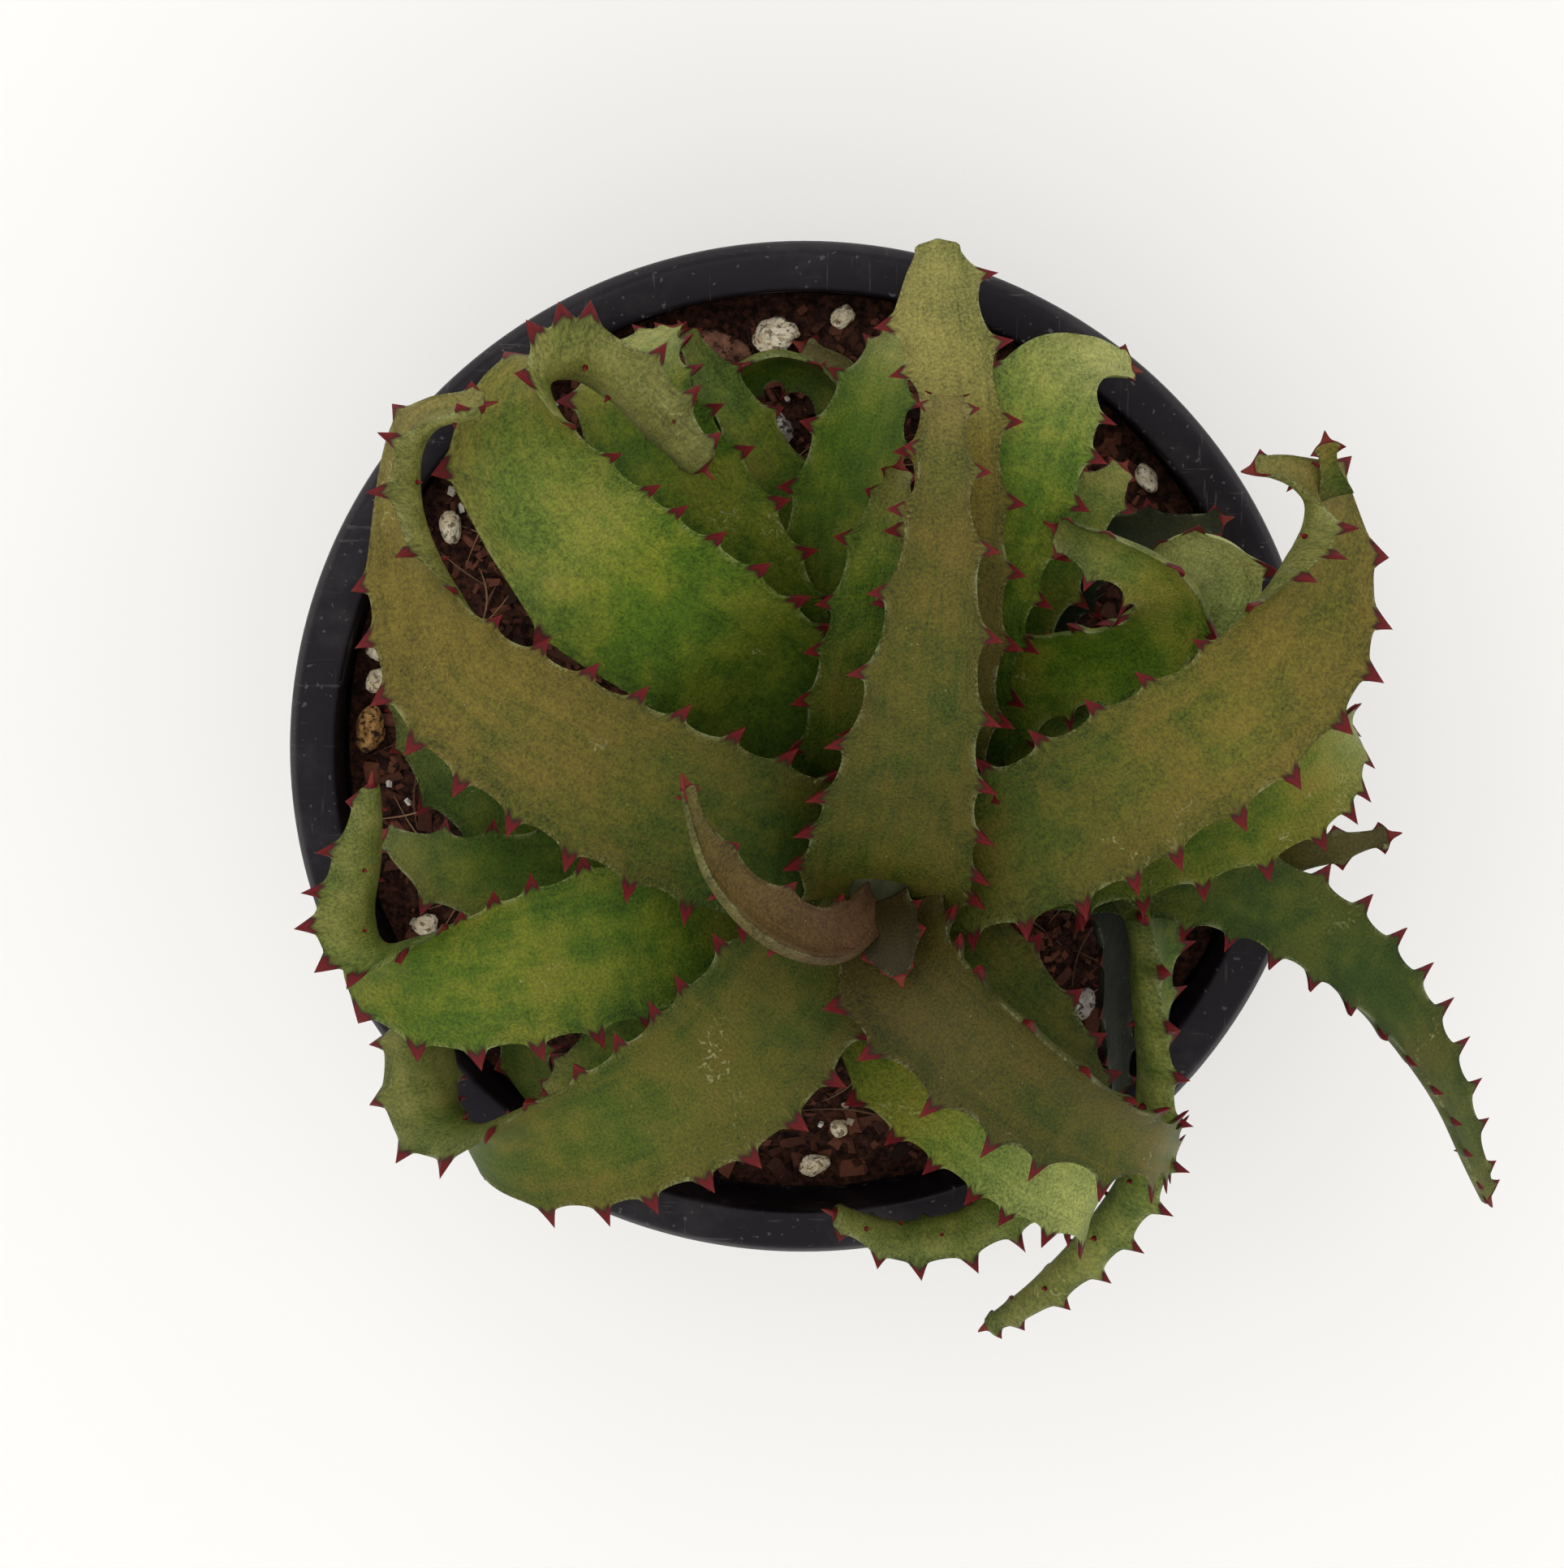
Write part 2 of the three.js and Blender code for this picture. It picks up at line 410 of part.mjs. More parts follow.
// A leaf: rings of eight points, five on the channelled upper face and three on the keeled
// underside, carried along the spine without twist except for the given roll.
function leafSolid(leaf, grow) {
  const { spine, thick, curl } = leaf;
  const curve = new THREE.CatmullRomCurve3(
    spine.map(([x, y, z]) => new THREE.Vector3(x, y, z)), false, 'centripetal');
  const ringCount = (spine.length - 1) * ringsPerSpan + 1;
  const widest = Math.max(...spine.map((row) => row[3]));
  const upper = [1, Math.SQRT1_2, 0, -Math.SQRT1_2, -1];
  const lower = [-Math.SQRT1_2, 0, Math.SQRT1_2];
  const positions = [];
  const side = new THREE.Vector3();
  for (let ring = 0; ring < ringCount; ring += 1) {
    const share = ring / (ringCount - 1);
    const { point, tangent, width, roll, fold } = spineAt(curve, spine, share);
    if (ring === 0) {
      side.crossVectors(tangent, new THREE.Vector3(0, 0, 1));
    }
    side.addScaledVector(tangent, -side.dot(tangent)).normalize();
    const normal = new THREE.Vector3().crossVectors(side, tangent);
    const across = side.clone().multiplyScalar(Math.cos(roll)).addScaledVector(normal, Math.sin(roll));
    const up = normal.clone().multiplyScalar(Math.cos(roll)).addScaledVector(side, -Math.sin(roll));
    const depth = thick * (1 - thinningToTip * share) * Math.sqrt(width / widest);
    const sink = channelShare * (width / 2) * (1 - Math.cos(fold)) / fold;
    const end = ring === 0 ? -grow : ring === ringCount - 1 ? grow : 0;
    const place = (u, below) => {
      const section = sectionPoint(width, fold, curl, u);
      const edge = Math.abs(u) === 1 ? Math.sign(u) * grow : 0;
      const lift = below ? -depth * (1 - Math.abs(u) ** 2.2) - grow : grow * (edge === 0 ? 1 : 0);
      const x = section.across - lift * Math.sin(section.slope) + edge * Math.cos(section.slope);
      const z = section.height - sink + lift * Math.cos(section.slope) + edge * Math.sin(section.slope);
      const at = point.clone().addScaledVector(across, x).addScaledVector(up, z);
      at.addScaledVector(tangent, end);
      positions.push(at.x, at.y, at.z);
    };
    upper.forEach((u) => place(u, false));
    lower.forEach((u) => place(u, true));
  }
  const around = upper.length + lower.length;
  const faces = [];
  for (let ring = 0; ring < ringCount - 1; ring += 1) {
    for (let i = 0; i < around; i += 1) {
      const next = (i + 1) % around;
      const a = ring * around + i;
      const b = ring * around + next;
      faces.push(a, b + around, b, a, a + around, b + around);
    }
  }
  // Both ends are closed by a strip between the upper and the lower points.
  const last = (ringCount - 1) * around;
  for (let i = 0; i < upper.length - 1; i += 1) {
    const [a, b, c, d] = [i, i + 1, around - i - 1, (around - i) % around];
    if (c !== b) {
      faces.push(a, b, c, last + a, last + c, last + b);
    }
    if (d !== a) {
      faces.push(a, c, d, last + a, last + d, last + c);
    }
  }
  const geometry = new THREE.BufferGeometry();
  geometry.setAttribute('position', new THREE.Float32BufferAttribute(positions, 3));
  geometry.setIndex(faces);
  return toSolid(geometry);
}

// The largest connected piece of a solid, once its corners are rounded to 32 bits.
function largestPiece(solid) {
  const pieces = toSolid(toGeometry(solid)).decompose();
  return pieces.reduce((best, next) => (next.volume() > best.volume() ? next : best));
}

// A stone: a coarse ball, uneven by a few slow waves, resting just above the soil.
function stoneGeometry(x, y, halfX, halfY, halfZ, turn) {
  const shape = new THREE.IcosahedronGeometry(1, 1);
  shape.deleteAttribute('normal');
  shape.deleteAttribute('uv');
  const ball = mergeVertices(shape, 1e-4);
  const place = ball.attributes.position;
  for (let i = 0; i < place.count; i += 1) {
    const [px, py, pz] = [place.getX(i), place.getY(i), place.getZ(i)];
    const swell = 1 + 0.12 * Math.sin(3 * px + x) * Math.cos(3 * py + y);
    place.setXYZ(i, px * halfX * swell, py * halfY * swell, Math.max(pz, -0.7) * halfZ);
  }
  ball.rotateZ(THREE.MathUtils.degToRad(turn));
  const foot = soilSurface(Math.hypot(x, y) - Math.max(halfX, halfY)) + seatGap;
  ball.translate(x, y, foot + 0.7 * halfZ);
  return ball;
}

function leafSkin(name) {
  if (/bud|sickle|upper$/.test(name)) return bronzeSkin;
  return /low|dark|arch|dry|drooping/.test(name) ? darkSkin : greenSkin;
}

const plant = new THREE.Group();
const stem = stemSolid(0);
const stemSpace = stemSolid(seatGap);
plant.add(piece('pot', potGeometry(), plastic));
plant.add(piece('soil', toGeometry(soilSolid().subtract(stemSpace)), earth));
plant.add(piece('stem', toGeometry(stem), bark));

// Each leaf gives way to the stem and to the younger leaves above it.
let taken = stemSpace;
for (const leaf of leaves) {
  const whole = leafSolid(leaf, 0);
  const blade = largestPiece(whole.subtract(taken));
  taken = taken.add(leafSolid(leaf, seatGap)).add(whole);
  plant.add(piece(leaf.name, toGeometry(blade), leafSkin(leaf.name)));
}

for (const [name, x, y, halfX, halfY, halfZ, turn] of stones) {
  const material = /lava|red/.test(name) ? lava : pumice;
  plant.add(piece(name, stoneGeometry(x, y, halfX, halfY, halfZ, turn), material));
}

export default plant;
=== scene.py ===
"""A small potted aloe in a round black nursery pot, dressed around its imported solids.

Lengths are millimetres throughout; store() turns them into metres.
A leaf's right margin is the one on the right when looking from its base to its tip.
"""

import json
import math

import bpy
import numpy as np
from mathutils import Matrix, Vector


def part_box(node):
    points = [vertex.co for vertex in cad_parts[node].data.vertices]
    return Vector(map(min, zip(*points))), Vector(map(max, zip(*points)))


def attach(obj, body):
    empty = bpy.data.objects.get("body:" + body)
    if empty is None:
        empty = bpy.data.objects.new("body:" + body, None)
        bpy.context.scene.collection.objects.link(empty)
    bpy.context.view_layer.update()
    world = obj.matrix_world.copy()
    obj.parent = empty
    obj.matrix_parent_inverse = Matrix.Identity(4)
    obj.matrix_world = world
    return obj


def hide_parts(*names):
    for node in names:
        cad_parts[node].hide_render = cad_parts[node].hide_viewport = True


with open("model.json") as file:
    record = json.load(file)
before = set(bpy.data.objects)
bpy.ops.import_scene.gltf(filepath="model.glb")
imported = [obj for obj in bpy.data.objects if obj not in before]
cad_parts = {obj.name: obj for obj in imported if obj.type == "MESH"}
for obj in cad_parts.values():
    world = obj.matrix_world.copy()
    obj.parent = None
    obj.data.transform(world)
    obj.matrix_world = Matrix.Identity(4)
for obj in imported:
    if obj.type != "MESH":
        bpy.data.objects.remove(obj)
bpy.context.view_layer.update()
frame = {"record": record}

METRES = 0.001

# Pot
RIM_RADIUS = 45.0
RIM_INNER_RADIUS = 40.7
POT_HEIGHT = 78.0
BASE_RADIUS = 31.0
STEP_RADIUS = 40.4
STEP_HEIGHT = 70.0
WALL = 1.0
FLOOR_THICKNESS = 1.2
HUB_RADIUS = 13.0
GROOVE_RADIUS = 26.5
GROOVE_LIFT = 1.5
RIM_THICKNESS = 1.2
SKIRT_DROP = 6.6
CORNER_RADIUS = 0.5
POT_STEPS = 240
DRAIN_HOLES = 8
DRAIN_RADIUS = 3.0
DRAIN_CIRCLE = 20.0

# Potting mix
SOIL_HEIGHT = 72.5
SOIL_RADIUS = 40.3
SEAT_GAP = 0.3
SOIL_STEPS = 420
SOIL_RINGS = 130
CHIP_SCATTER_RADIUS = 39.0
FIBRE_SCATTER_RADIUS = 35.0

# Loose matter: how many, and each side's shortest and longest length
LARGE_CHIPS = 650
LARGE_CHIP_SIZES = ((1.2, 4.2), (0.6, 1.7), (0.25, 0.7))
SMALL_CHIPS = 3200
SMALL_CHIP_SIZES = ((0.5, 2.0), (0.3, 0.8), (0.15, 0.45))
GRIT_BITS = 90
GRIT_SIZES = ((0.4, 1.1), (0.3, 0.9), (0.3, 0.7))
FIBRES = 220
FIBRE_POINTS = 13

# Stem
STEM_FOOT = (3.7, -4.6, 60.0)
STEM_TOP = (6.1, -7.2, 97.0)
STEM_RADII = (5.2, 2.2)
STEM_RINGS = 150
STEM_STEPS = 64
STEM_SCAR_DEPTH = 0.18

# Leaf shape
ROW_STEP = 0.26
TURN_REACH = 2.2  # over this length the rings turn with the path
SECTION_STEPS = 160
UPPER_COLUMNS = 26
THINNING_TO_TIP = 0.55
CURL_STRENGTH = 0.8
CHANNEL_SHARE = 0.35
EDGE_POWER = 2.2  # how full the section stays towards its margins
SPUR_THICKNESS = 1.2

# Teeth
TOOTH_HEIGHT = 1.35
TOOTH_HALF_BASE = 0.85
TOOTH_LEAN = -0.22
TIP_TOOTH = 1.1  # length and width of the tooth in which a leaf ends
BAY_DEPTH = 0.75
TOOTH_STEP = 4.6
PRICKLE_ROWS = 15
PRICKLE_SIDES = 6
PRICKLE_RADII = (0.25, 0.42)
PRICKLE_SINK = 0.1

# Stones
STONE_STEPS = 72
STONE_RINGS = 36
STONE_REST = 0.7  # share of the half height kept below the middle

# Camera
CAMERA_TARGET = (-1.9, -1.8, 78.0)
CAMERA_DISTANCE = 300.0
CAMERA_TILT = 11.0
CAMERA_LENS = 79.0

# Light and floor
SKY_COLOUR = (1.0, 0.99, 0.98, 1.0)
SKY_STRENGTH = 1.0
PANEL_PLACE = (-180, 260, 700)
PANEL_AIM = (0, 0, 80)
PANEL_SIZE = 500
PANEL_POWER = 0.9
FLOOR_HALF_WIDTH = 4000

# Every leaf from the youngest to the oldest.
# thick: the greatest thickness. curl: the margin that rolls over, 1 the right and -1 the left.
# spine: x, y, z, width, roll in degrees (right margin up), fold in radians.
# right and left: where the teeth stand, in mm along the leaf; evenly spaced where not given.
# bays: how deep the right and the left margin's bays are, as a share of BAY_DEPTH.
# tooth_size: a share of TOOTH_HEIGHT. tip_tooth: the size of the leaf's end tooth.
# spur: the spine of a small lobe beside the tip.
# bronze and the painted light and shade: at even steps from base to tip; above 1, bronze turns to a
# brownish red. The painted light darkens the skin as painted shade below 1 (deep in the crown, on low and
# hidden leaves) and lightens it as a painted highlight above 1.
LEAVES = [
    dict(
        name="bud", thick=1.6, curl=0, bronze=(1.2, 1.1, 1.1), painted_light=(0.25, 0.22, 0.2, 0.18),
        right=[3.5, 6.2], left=[2.6, 5.2], tooth_size=0.35,
        spine=[
            (6.1, -7.6, 97.5, 5, 0, 0.35), (6.6, -9, 100.8, 6, 0, 0.3), (7, -10.6, 102.4, 5, 0, 0.3),
            (7.4, -12, 102.8, 2.8, 0, 0.3), (7.6, -12.8, 102.7, 1.2, 0, 0.3),
        ],
    ),
    dict(
        name="young_sickle", thick=2.4, curl=0, bronze=(1.5, 1.4, 1.25, 1.15, 0.95),
        painted_light=(0.6, 0.6, 0.75, 0.8, 0.8), right=[7, 15, 22.5], left=[], tooth_size=0.4,
        spine=[
            (5.9, -7.6, 97, 3.2, 0, 0.6), (4.8, -8.4, 101, 4.8, 0, 0.75),
            (2.8, -8.8, 104.4, 5.7, 4, 0.85), (0.4, -8.1, 106.6, 6.3, 8, 0.9),
            (-2.2, -6.6, 108.4, 6.1, 12, 0.9), (-4.5, -4.5, 109.8, 5.5, 14, 0.9),
            (-6.7, -1.7, 111, 4.4, 16, 0.9), (-8.2, 1.5, 111.8, 2.8, 16, 0.9),
            (-9.2, 4.6, 112.2, 1.4, 15, 0.9),
        ],
    ),
    dict(
        name="north_upper", thick=3.4, curl=0, bronze=(0.6, 0.62, 0.65, 0.85, 0.9),
        painted_light=(0.6, 0.62, 0.7, 0.85, 1.25), right=[5.5, 8, 12, 17, 23, 29.5, 36, 42, 47],
        left=[6.5, 10, 13.5, 19, 25.5, 32, 38.5, 43.5, 47],
        spine=[
            (6, -9, 94.5, 14, 0, 0.6), (6.5, -5.5, 98.5, 15.2, 0, 0.5), (7.5, 0.5, 102, 13.8, 0, 0.45),
            (9, 10.5, 106.5, 10.8, 0, 0.45), (10, 19.5, 107.5, 8.4, 0, 0.45),
            (10.5, 26, 106.4, 6.2, 0, 0.4), (10.8, 30, 105, 4.8, 0, 0.35), (11, 32.6, 103.4, 3.8, 0, 0.3),
            (11.1, 33.8, 101.6, 3, 0, 0.3), (11.1, 33.7, 100, 2, 0, 0.3),
        ],
    ),
    dict(
        name="southeast_upper", thick=3.2, curl=-1, bronze=(1.1, 0.7, 0.62, 0.6, 0.6),
        painted_light=(0.4, 0.5, 0.55, 0.8, 1), bays=(1.5, 1), right=[6.5, 10, 15.5, 21, 25.5, 32, 39, 44],
        left=[3.5, 8, 12, 17.5, 23, 28, 33, 38, 43],
        spine=[
            (6.5, -8.5, 96.5, 11, 0, 0.6), (8, -13.5, 101, 12, -14, 0.65), (13, -18, 104.5, 12, -22, 0.8),
            (19, -22.5, 105, 11, -24, 0.85), (24.5, -26.5, 102, 8.8, -20, 0.75),
            (29, -29.2, 97.5, 6.8, -10, 0.45), (31.2, -31.2, 91.5, 5, 0, 0.3), (32, -33, 87, 3, 0, 0.3),
        ],
    ),
    dict(
        name="west_upper", thick=3.6, curl=1, bronze=(0.2, 0.55, 0.85, 0.95, 0.7),
        painted_light=(0.15, 0.65, 1.05, 1.15, 1.3),
        right=[6.5, 11.5, 17, 22, 26, 30.5, 35, 40, 45, 50, 56, 60.5],
        left=[8, 13.5, 19, 24.5, 29.5, 34, 38, 41.5, 45.3, 49, 60],
        spine=[
            (4, -6, 94.5, 14, 0, 0.5), (-5.5, -1.5, 100, 15, 0, 0.4), (-13, 2.5, 104, 14.8, 0, 0.4),
            (-20.5, 7, 106, 13.6, 0, 0.4), (-28, 12.5, 105, 12, 8, 0.5), (-31, 18, 102.5, 10.4, 25, 0.8),
            (-32.6, 24.5, 101.5, 8.8, 48, 1), (-31.8, 30.2, 102.5, 7, 62, 1),
            (-29.5, 32.8, 103.6, 5.6, 70, 0.9), (-25.8, 33.4, 104.5, 3.6, 74, 0.8),
        ],
    ),
    dict(
        name="southwest_upper", thick=3.6, curl=1, bronze=(0.6, 0.5, 0.55, 0.5, 0.5),
        painted_light=(0.45, 0.65, 0.85, 0.85, 1.1),
        right=[6, 11, 16, 20, 24.5, 28.5, 33.5, 37.5, 42, 45.5, 49.5, 53.5, 56],
        left=[4, 8.5, 13, 17, 20.5, 24, 28, 32, 37, 43, 47.5, 51, 54.5],
        spine=[
            (4.5, -8.5, 94.5, 12, 0, 0.5), (-1.5, -15.5, 98.5, 14.6, 0, 0.45),
            (-7, -21, 101.5, 15, 0, 0.45), (-13.5, -25, 102.5, 13.4, 5, 0.5),
            (-20.5, -28, 101, 12.2, 16, 0.7), (-27, -29.5, 98.5, 11, 42, 0.95),
            (-31.2, -27, 95.8, 9.4, 80, 0.95), (-32.1, -21.6, 93.4, 8, 98, 0.8),
            (-31.8, -16.8, 91.6, 4.4, 102, 0.7),
        ],
    ),
    dict(
        name="east_upper", thick=3.6, curl=-1, bronze=(0.5, 0.55, 0.68, 0.85, 0.65),
        painted_light=(0.6, 0.7, 1.05, 1.15, 1.05),
        right=[5, 9.5, 14, 18.5, 22.5, 28, 32.5, 37, 40.5, 44.3, 48, 52.8],
        left=[6, 12, 18, 23.5, 28.5, 35, 40, 44, 47.3, 50.3],
        spur=[
            (41.6, 26, 102.8, 3, 0, 0.5), (40.9, 28.4, 103.8, 2.2, 0, 0.5),
            (40.4, 30.4, 105, 1.5, 0, 0.4),
        ],
        spine=[
            (8, -6, 94, 13, 0, 0.5), (17, -2.5, 99, 14, 0, 0.45), (26.5, 3.5, 103, 14.2, -3, 0.45),
            (34.5, 9.5, 105, 13.4, -6, 0.5), (38.8, 15, 105, 13, -14, 0.8), (41, 20, 103, 11.4, -32, 1.2),
            (41.6, 23.8, 102.6, 8.8, -50, 1.25), (40.6, 26.7, 103.4, 6.2, -54, 1.1),
            (38.4, 28.2, 104.4, 3.8, -54, 0.9), (36.2, 28.7, 105.2, 2.4, -54, 0.8),
            (34.8, 28.5, 105.6, 1.2, -54, 0.8),
        ],
    ),
    dict(
        name="north_middle", thick=3.2, curl=0, bronze=(0.6, 0.6, 0.9, 0.95, 0.75),
        painted_light=(0.3, 0.42, 0.75, 1.5, 1.45), right=[10, 16, 22, 27.5, 32.5, 38.5, 44.5, 51],
        left=[12, 18, 24, 30, 36.5, 43.5, 47.5], tip_tooth=0.2,
        spine=[
            (6.5, -4, 91.5, 13, 0, 0.5), (9, 2.5, 97, 12.5, 0, 0.45), (11, 13.5, 100, 11, 0, 0.45),
            (12, 25, 100, 9, 0, 0.4), (12, 34, 98, 7.8, 0, 0.35), (10.7, 39.8, 95.8, 8.3, 0, 0.3),
            (10.6, 43.1, 94, 6.9, 0, 0.3), (10.6, 44.7, 93, 4.4, 0, 0.3),
        ],
    ),
    dict(
        name="west_middle", thick=3.4, curl=1, bronze=(0.35, 0.15, 0.35, 0.4, 0.45),
        painted_light=(0.4, 0.8, 1.1, 1.1, 1),
        right=[6, 11, 16, 21.5, 26, 29.5, 32.4, 34.4, 38.2, 41.8, 44, 46.8, 49.6, 53.4],
        left=[5, 10, 15, 19.5, 24, 28.5, 33, 36.8, 40.2],
        spine=[
            (3, -7.5, 90.5, 11, 0, 0.5), (-7.5, -9.5, 94, 14, 0, 0.4), (-15, -11, 97.5, 14.6, 0, 0.4),
            (-23, -13, 99.5, 13.6, 0, 0.5), (-30.5, -14.2, 100, 12.4, 16, 0.75),
            (-36, -12.9, 99.6, 11.4, 56, 0.85), (-37.4, -9, 99.6, 10.2, 96, 0.75),
            (-36.4, -3.8, 100.4, 8.6, 108, 0.6), (-35.3, 1.2, 101.8, 4.4, 114, 0.5),
            (-35, 2.5, 102.2, 2.8, 114, 0.5),
        ],
    ),
    dict(
        name="northwest_middle", thick=3.6, curl=1, bronze=(0, 0.08, 0.35, 0.75, 0.8),
        painted_light=(0.15, 0.6, 1.4, 1.3, 0.8),
        right=[8, 12.5, 17.5, 21, 25, 29, 33, 36.6, 41.5, 46.5, 51, 54, 55.7, 57.4, 62.3, 66],
        left=[34, 46, 53, 61, 66],
        spine=[
            (4, -4, 88.5, 13, 0, 0.5), (-3, 8.5, 93, 15, 0, 0.4), (-8.5, 14, 97.5, 16, 0, 0.4),
            (-16, 20, 99.5, 15.6, 0, 0.4), (-21, 26, 100, 14.2, 4, 0.5), (-23.2, 31.6, 99.4, 12, 14, 0.8),
            (-22, 36, 98.4, 9.4, 52, 0.9), (-18.4, 37, 97.6, 8.2, 90, 0.8),
            (-14.6, 35.2, 98, 7.6, 104, 0.7), (-11.4, 32, 98.6, 6.8, 110, 0.6),
            (-8.6, 28.6, 99, 4.4, 112, 0.5),
        ],
    ),
    dict(
        name="east_middle", thick=3.2, curl=-1, bronze=(0.3, 0.3, 0.3, 0.4, 0.5),
        painted_light=(0.5, 0.6, 0.85, 1.15, 1.8), right=[9, 14.5, 19.5, 24.5, 29.5, 34, 37, 39, 42],
        left=[12, 18, 24, 30, 36, 41, 43.5],
        spine=[
            (8.5, -6, 90, 11, 0, 0.5), (20.5, -4, 94.5, 12, 0, 0.45), (29.5, -1.5, 97.5, 11.4, 0, 0.45),
            (37.5, 1, 98, 10.6, 0, 0.45), (43, 3.5, 96, 8.4, -10, 0.6), (45.5, 5.5, 93, 5, -20, 0.7),
            (45.5, 6, 90, 1.6, -20, 0.6),
        ],
    ),
    dict(
        name="southeast_middle", thick=3, curl=0, bronze=(0.5, 0.5, 0.5, 0.55, 0.5),
        painted_light=(0.55, 0.55, 0.5, 0.55, 0.8), right=[8, 13, 18, 23, 28],
        left=[7, 11, 15.5, 19, 22, 25.5, 29],
        spine=[
            (8, -9, 90, 10, 0, 0.5), (14.5, -15, 94.5, 11.5, 0, 0.45), (19.5, -21.5, 96, 10.5, 0, 0.5),
            (23, -28.5, 94, 7.5, 0, 0.5), (25.5, -33.5, 90, 1.6, 0, 0.5),
        ],
    ),
    dict(
        name="south_middle", thick=2.8, curl=0, bronze=(0.3, 0.3, 0.25, 0.25, 0.3),
        painted_light=(0.6, 1.2, 2, 0.95, 0.95),
        right=[9, 14, 17.5, 21, 25, 28, 31.5, 36, 42, 48.5, 53, 57, 60.5],
        left=[12, 18, 24, 30, 35, 40, 45, 50, 56, 61],
        spine=[
            (5.5, -10, 88, 10, 0, 0.5), (8, -21.5, 92, 11.4, 0, 0.45), (13.6, -26.6, 94, 11, 0, 0.4),
            (19.8, -31.4, 94.5, 10, 0, 0.4), (24.8, -34.6, 92.6, 9, 0, 0.4),
            (25.6, -36, 89.5, 7.8, 0, 0.4), (24.2, -36.4, 87, 7.2, 0, 0.4), (20, -37.2, 85, 6.6, 0, 0.4),
            (13.5, -40.6, 84.5, 5.8, 0, 0.5), (8, -41, 85, 5, 0, 0.5), (3, -38.4, 86.5, 3, 0, 0.5),
        ],
    ),
    dict(
        name="north_left_middle", thick=3, curl=0, bronze=(0.3, 0.35, 0.35, 0.4, 0.45),
        painted_light=(0.5, 0.5, 0.6, 0.9, 0.9), right=[8, 14, 20, 26, 31], left=[6, 11, 15, 19, 23, 28, 32],
        spine=[
            (5.5, -3.5, 90, 11, 0, 0.5), (4.5, 6, 96.5, 10.5, 0, 0.45), (5.5, 14.5, 99, 9, 0, 0.45),
            (6.5, 22.5, 99, 6.5, 0, 0.5), (7.5, 27.5, 96.5, 1.6, 0, 0.5),
        ],
    ),
    dict(
        name="northeast_middle", thick=3, curl=-1, bronze=(0.15, 0.15, 0.2, 0.4, 0.6),
        painted_light=(0.35, 0.6, 0.85, 1.4, 2), right=[10, 16, 21, 25.5, 30, 34, 38, 42],
        left=[11, 17, 23, 29, 35, 41],
        spine=[
            (6.5, -3.5, 86.5, 9, 0, 0.5), (11.5, 6.5, 91.5, 10, 0, 0.45), (14, 17.5, 95.5, 10.4, 0, 0.45),
            (17, 27, 97.5, 10.6, 0, 0.45), (18.8, 32, 96.6, 10.6, -3, 0.5),
            (20.8, 35.4, 94.4, 8.6, -6, 0.5), (23.8, 36.2, 91.8, 5.4, -8, 0.5),
            (26.6, 35.2, 89.8, 2.2, -8, 0.5),
        ],
    ),
    dict(
        name="north_lower", thick=3.2, curl=0, bronze=(0.1, 0.1, 0.15, 0.3, 0.5),
        painted_light=(0.3, 0.55, 0.65, 0.95, 1.6),
        spine=[
            (4.5, -3, 84, 11, 0, 0.5), (2.5, 11.5, 88.5, 11, 0, 0.45), (3, 21.5, 90.5, 10.6, 0, 0.45),
            (4.5, 29.5, 90, 8.6, 0, 0.5), (6.5, 35, 86.5, 5.6, 0, 0.55), (7.5, 37.5, 82.5, 1.6, 0, 0.6),
        ],
    ),
    dict(
        name="northwest_lower", thick=3, curl=0, bronze=(0.05, 0.1, 0.15, 0.3, 0.6),
        painted_light=(0.3, 0.55, 0.75, 1.1, 1.9),
        spine=[
            (4, -3.5, 86, 12, 0, 0.5), (-3, 12, 91, 13, 0, 0.45), (-8, 22, 93.5, 13, 0, 0.45),
            (-12.5, 29.5, 93.5, 12, 0, 0.5), (-14, 34, 91, 10.5, 0, 0.5), (-13, 37, 86.5, 7, 0, 0.6),
            (-11, 38, 82, 1.6, 0, 0.6),
        ],
    ),
    dict(
        name="northeast_lower", thick=3, curl=0, bronze=(0.1, 0.15, 0.2, 0.45, 0.4),
        painted_light=(0.4, 0.6, 1.2, 1.3, 0.7),
        spine=[
            (7.5, -3.5, 84.5, 9, 0, 0.6), (14.5, 5.5, 88.5, 8.6, 0, 0.5), (20.7, 10.2, 91.5, 8.2, 0, 0.5),
            (25.2, 11.4, 93.8, 8, -4, 0.55), (28.6, 13.8, 96.6, 7.8, -12, 0.7),
            (29, 17.2, 99.6, 7, -22, 0.8), (26.4, 19.8, 101, 5.6, -28, 0.8),
            (23, 21.4, 100.6, 4.8, -30, 0.8), (20.3, 22.8, 99, 2.8, -30, 0.7),
        ],
    ),
    dict(
        name="northeast_outer", thick=2.8, curl=-1, bronze=(0.15, 0.2, 0.25, 0.4, 0.45),
        painted_light=(0.7, 1.3, 1.7, 2.2, 1.6), left=[35, 40],
        spine=[
            (8, -3.5, 82.5, 8, 0, 0.5), (20, 6.6, 86.5, 8, 0, 0.5), (28, 10.8, 90.4, 8, 0, 0.5),
            (32.4, 14, 92.8, 8, -8, 0.6), (34.2, 17.4, 95, 7.2, -24, 0.7), (32.8, 20, 97, 6.2, -36, 0.8),
            (30.2, 20.8, 97.8, 4.6, -42, 0.8), (28.2, 20.4, 97.4, 2.2, -46, 0.8),
        ],
    ),
    dict(
        name="southeast_drooping", thick=3.2, curl=0, bronze=(0.1, 0.2, 0.3, 0.35, 0.4),
        painted_light=(0.4, 0.25, 1.1, 1.2, 0.75),
        spine=[
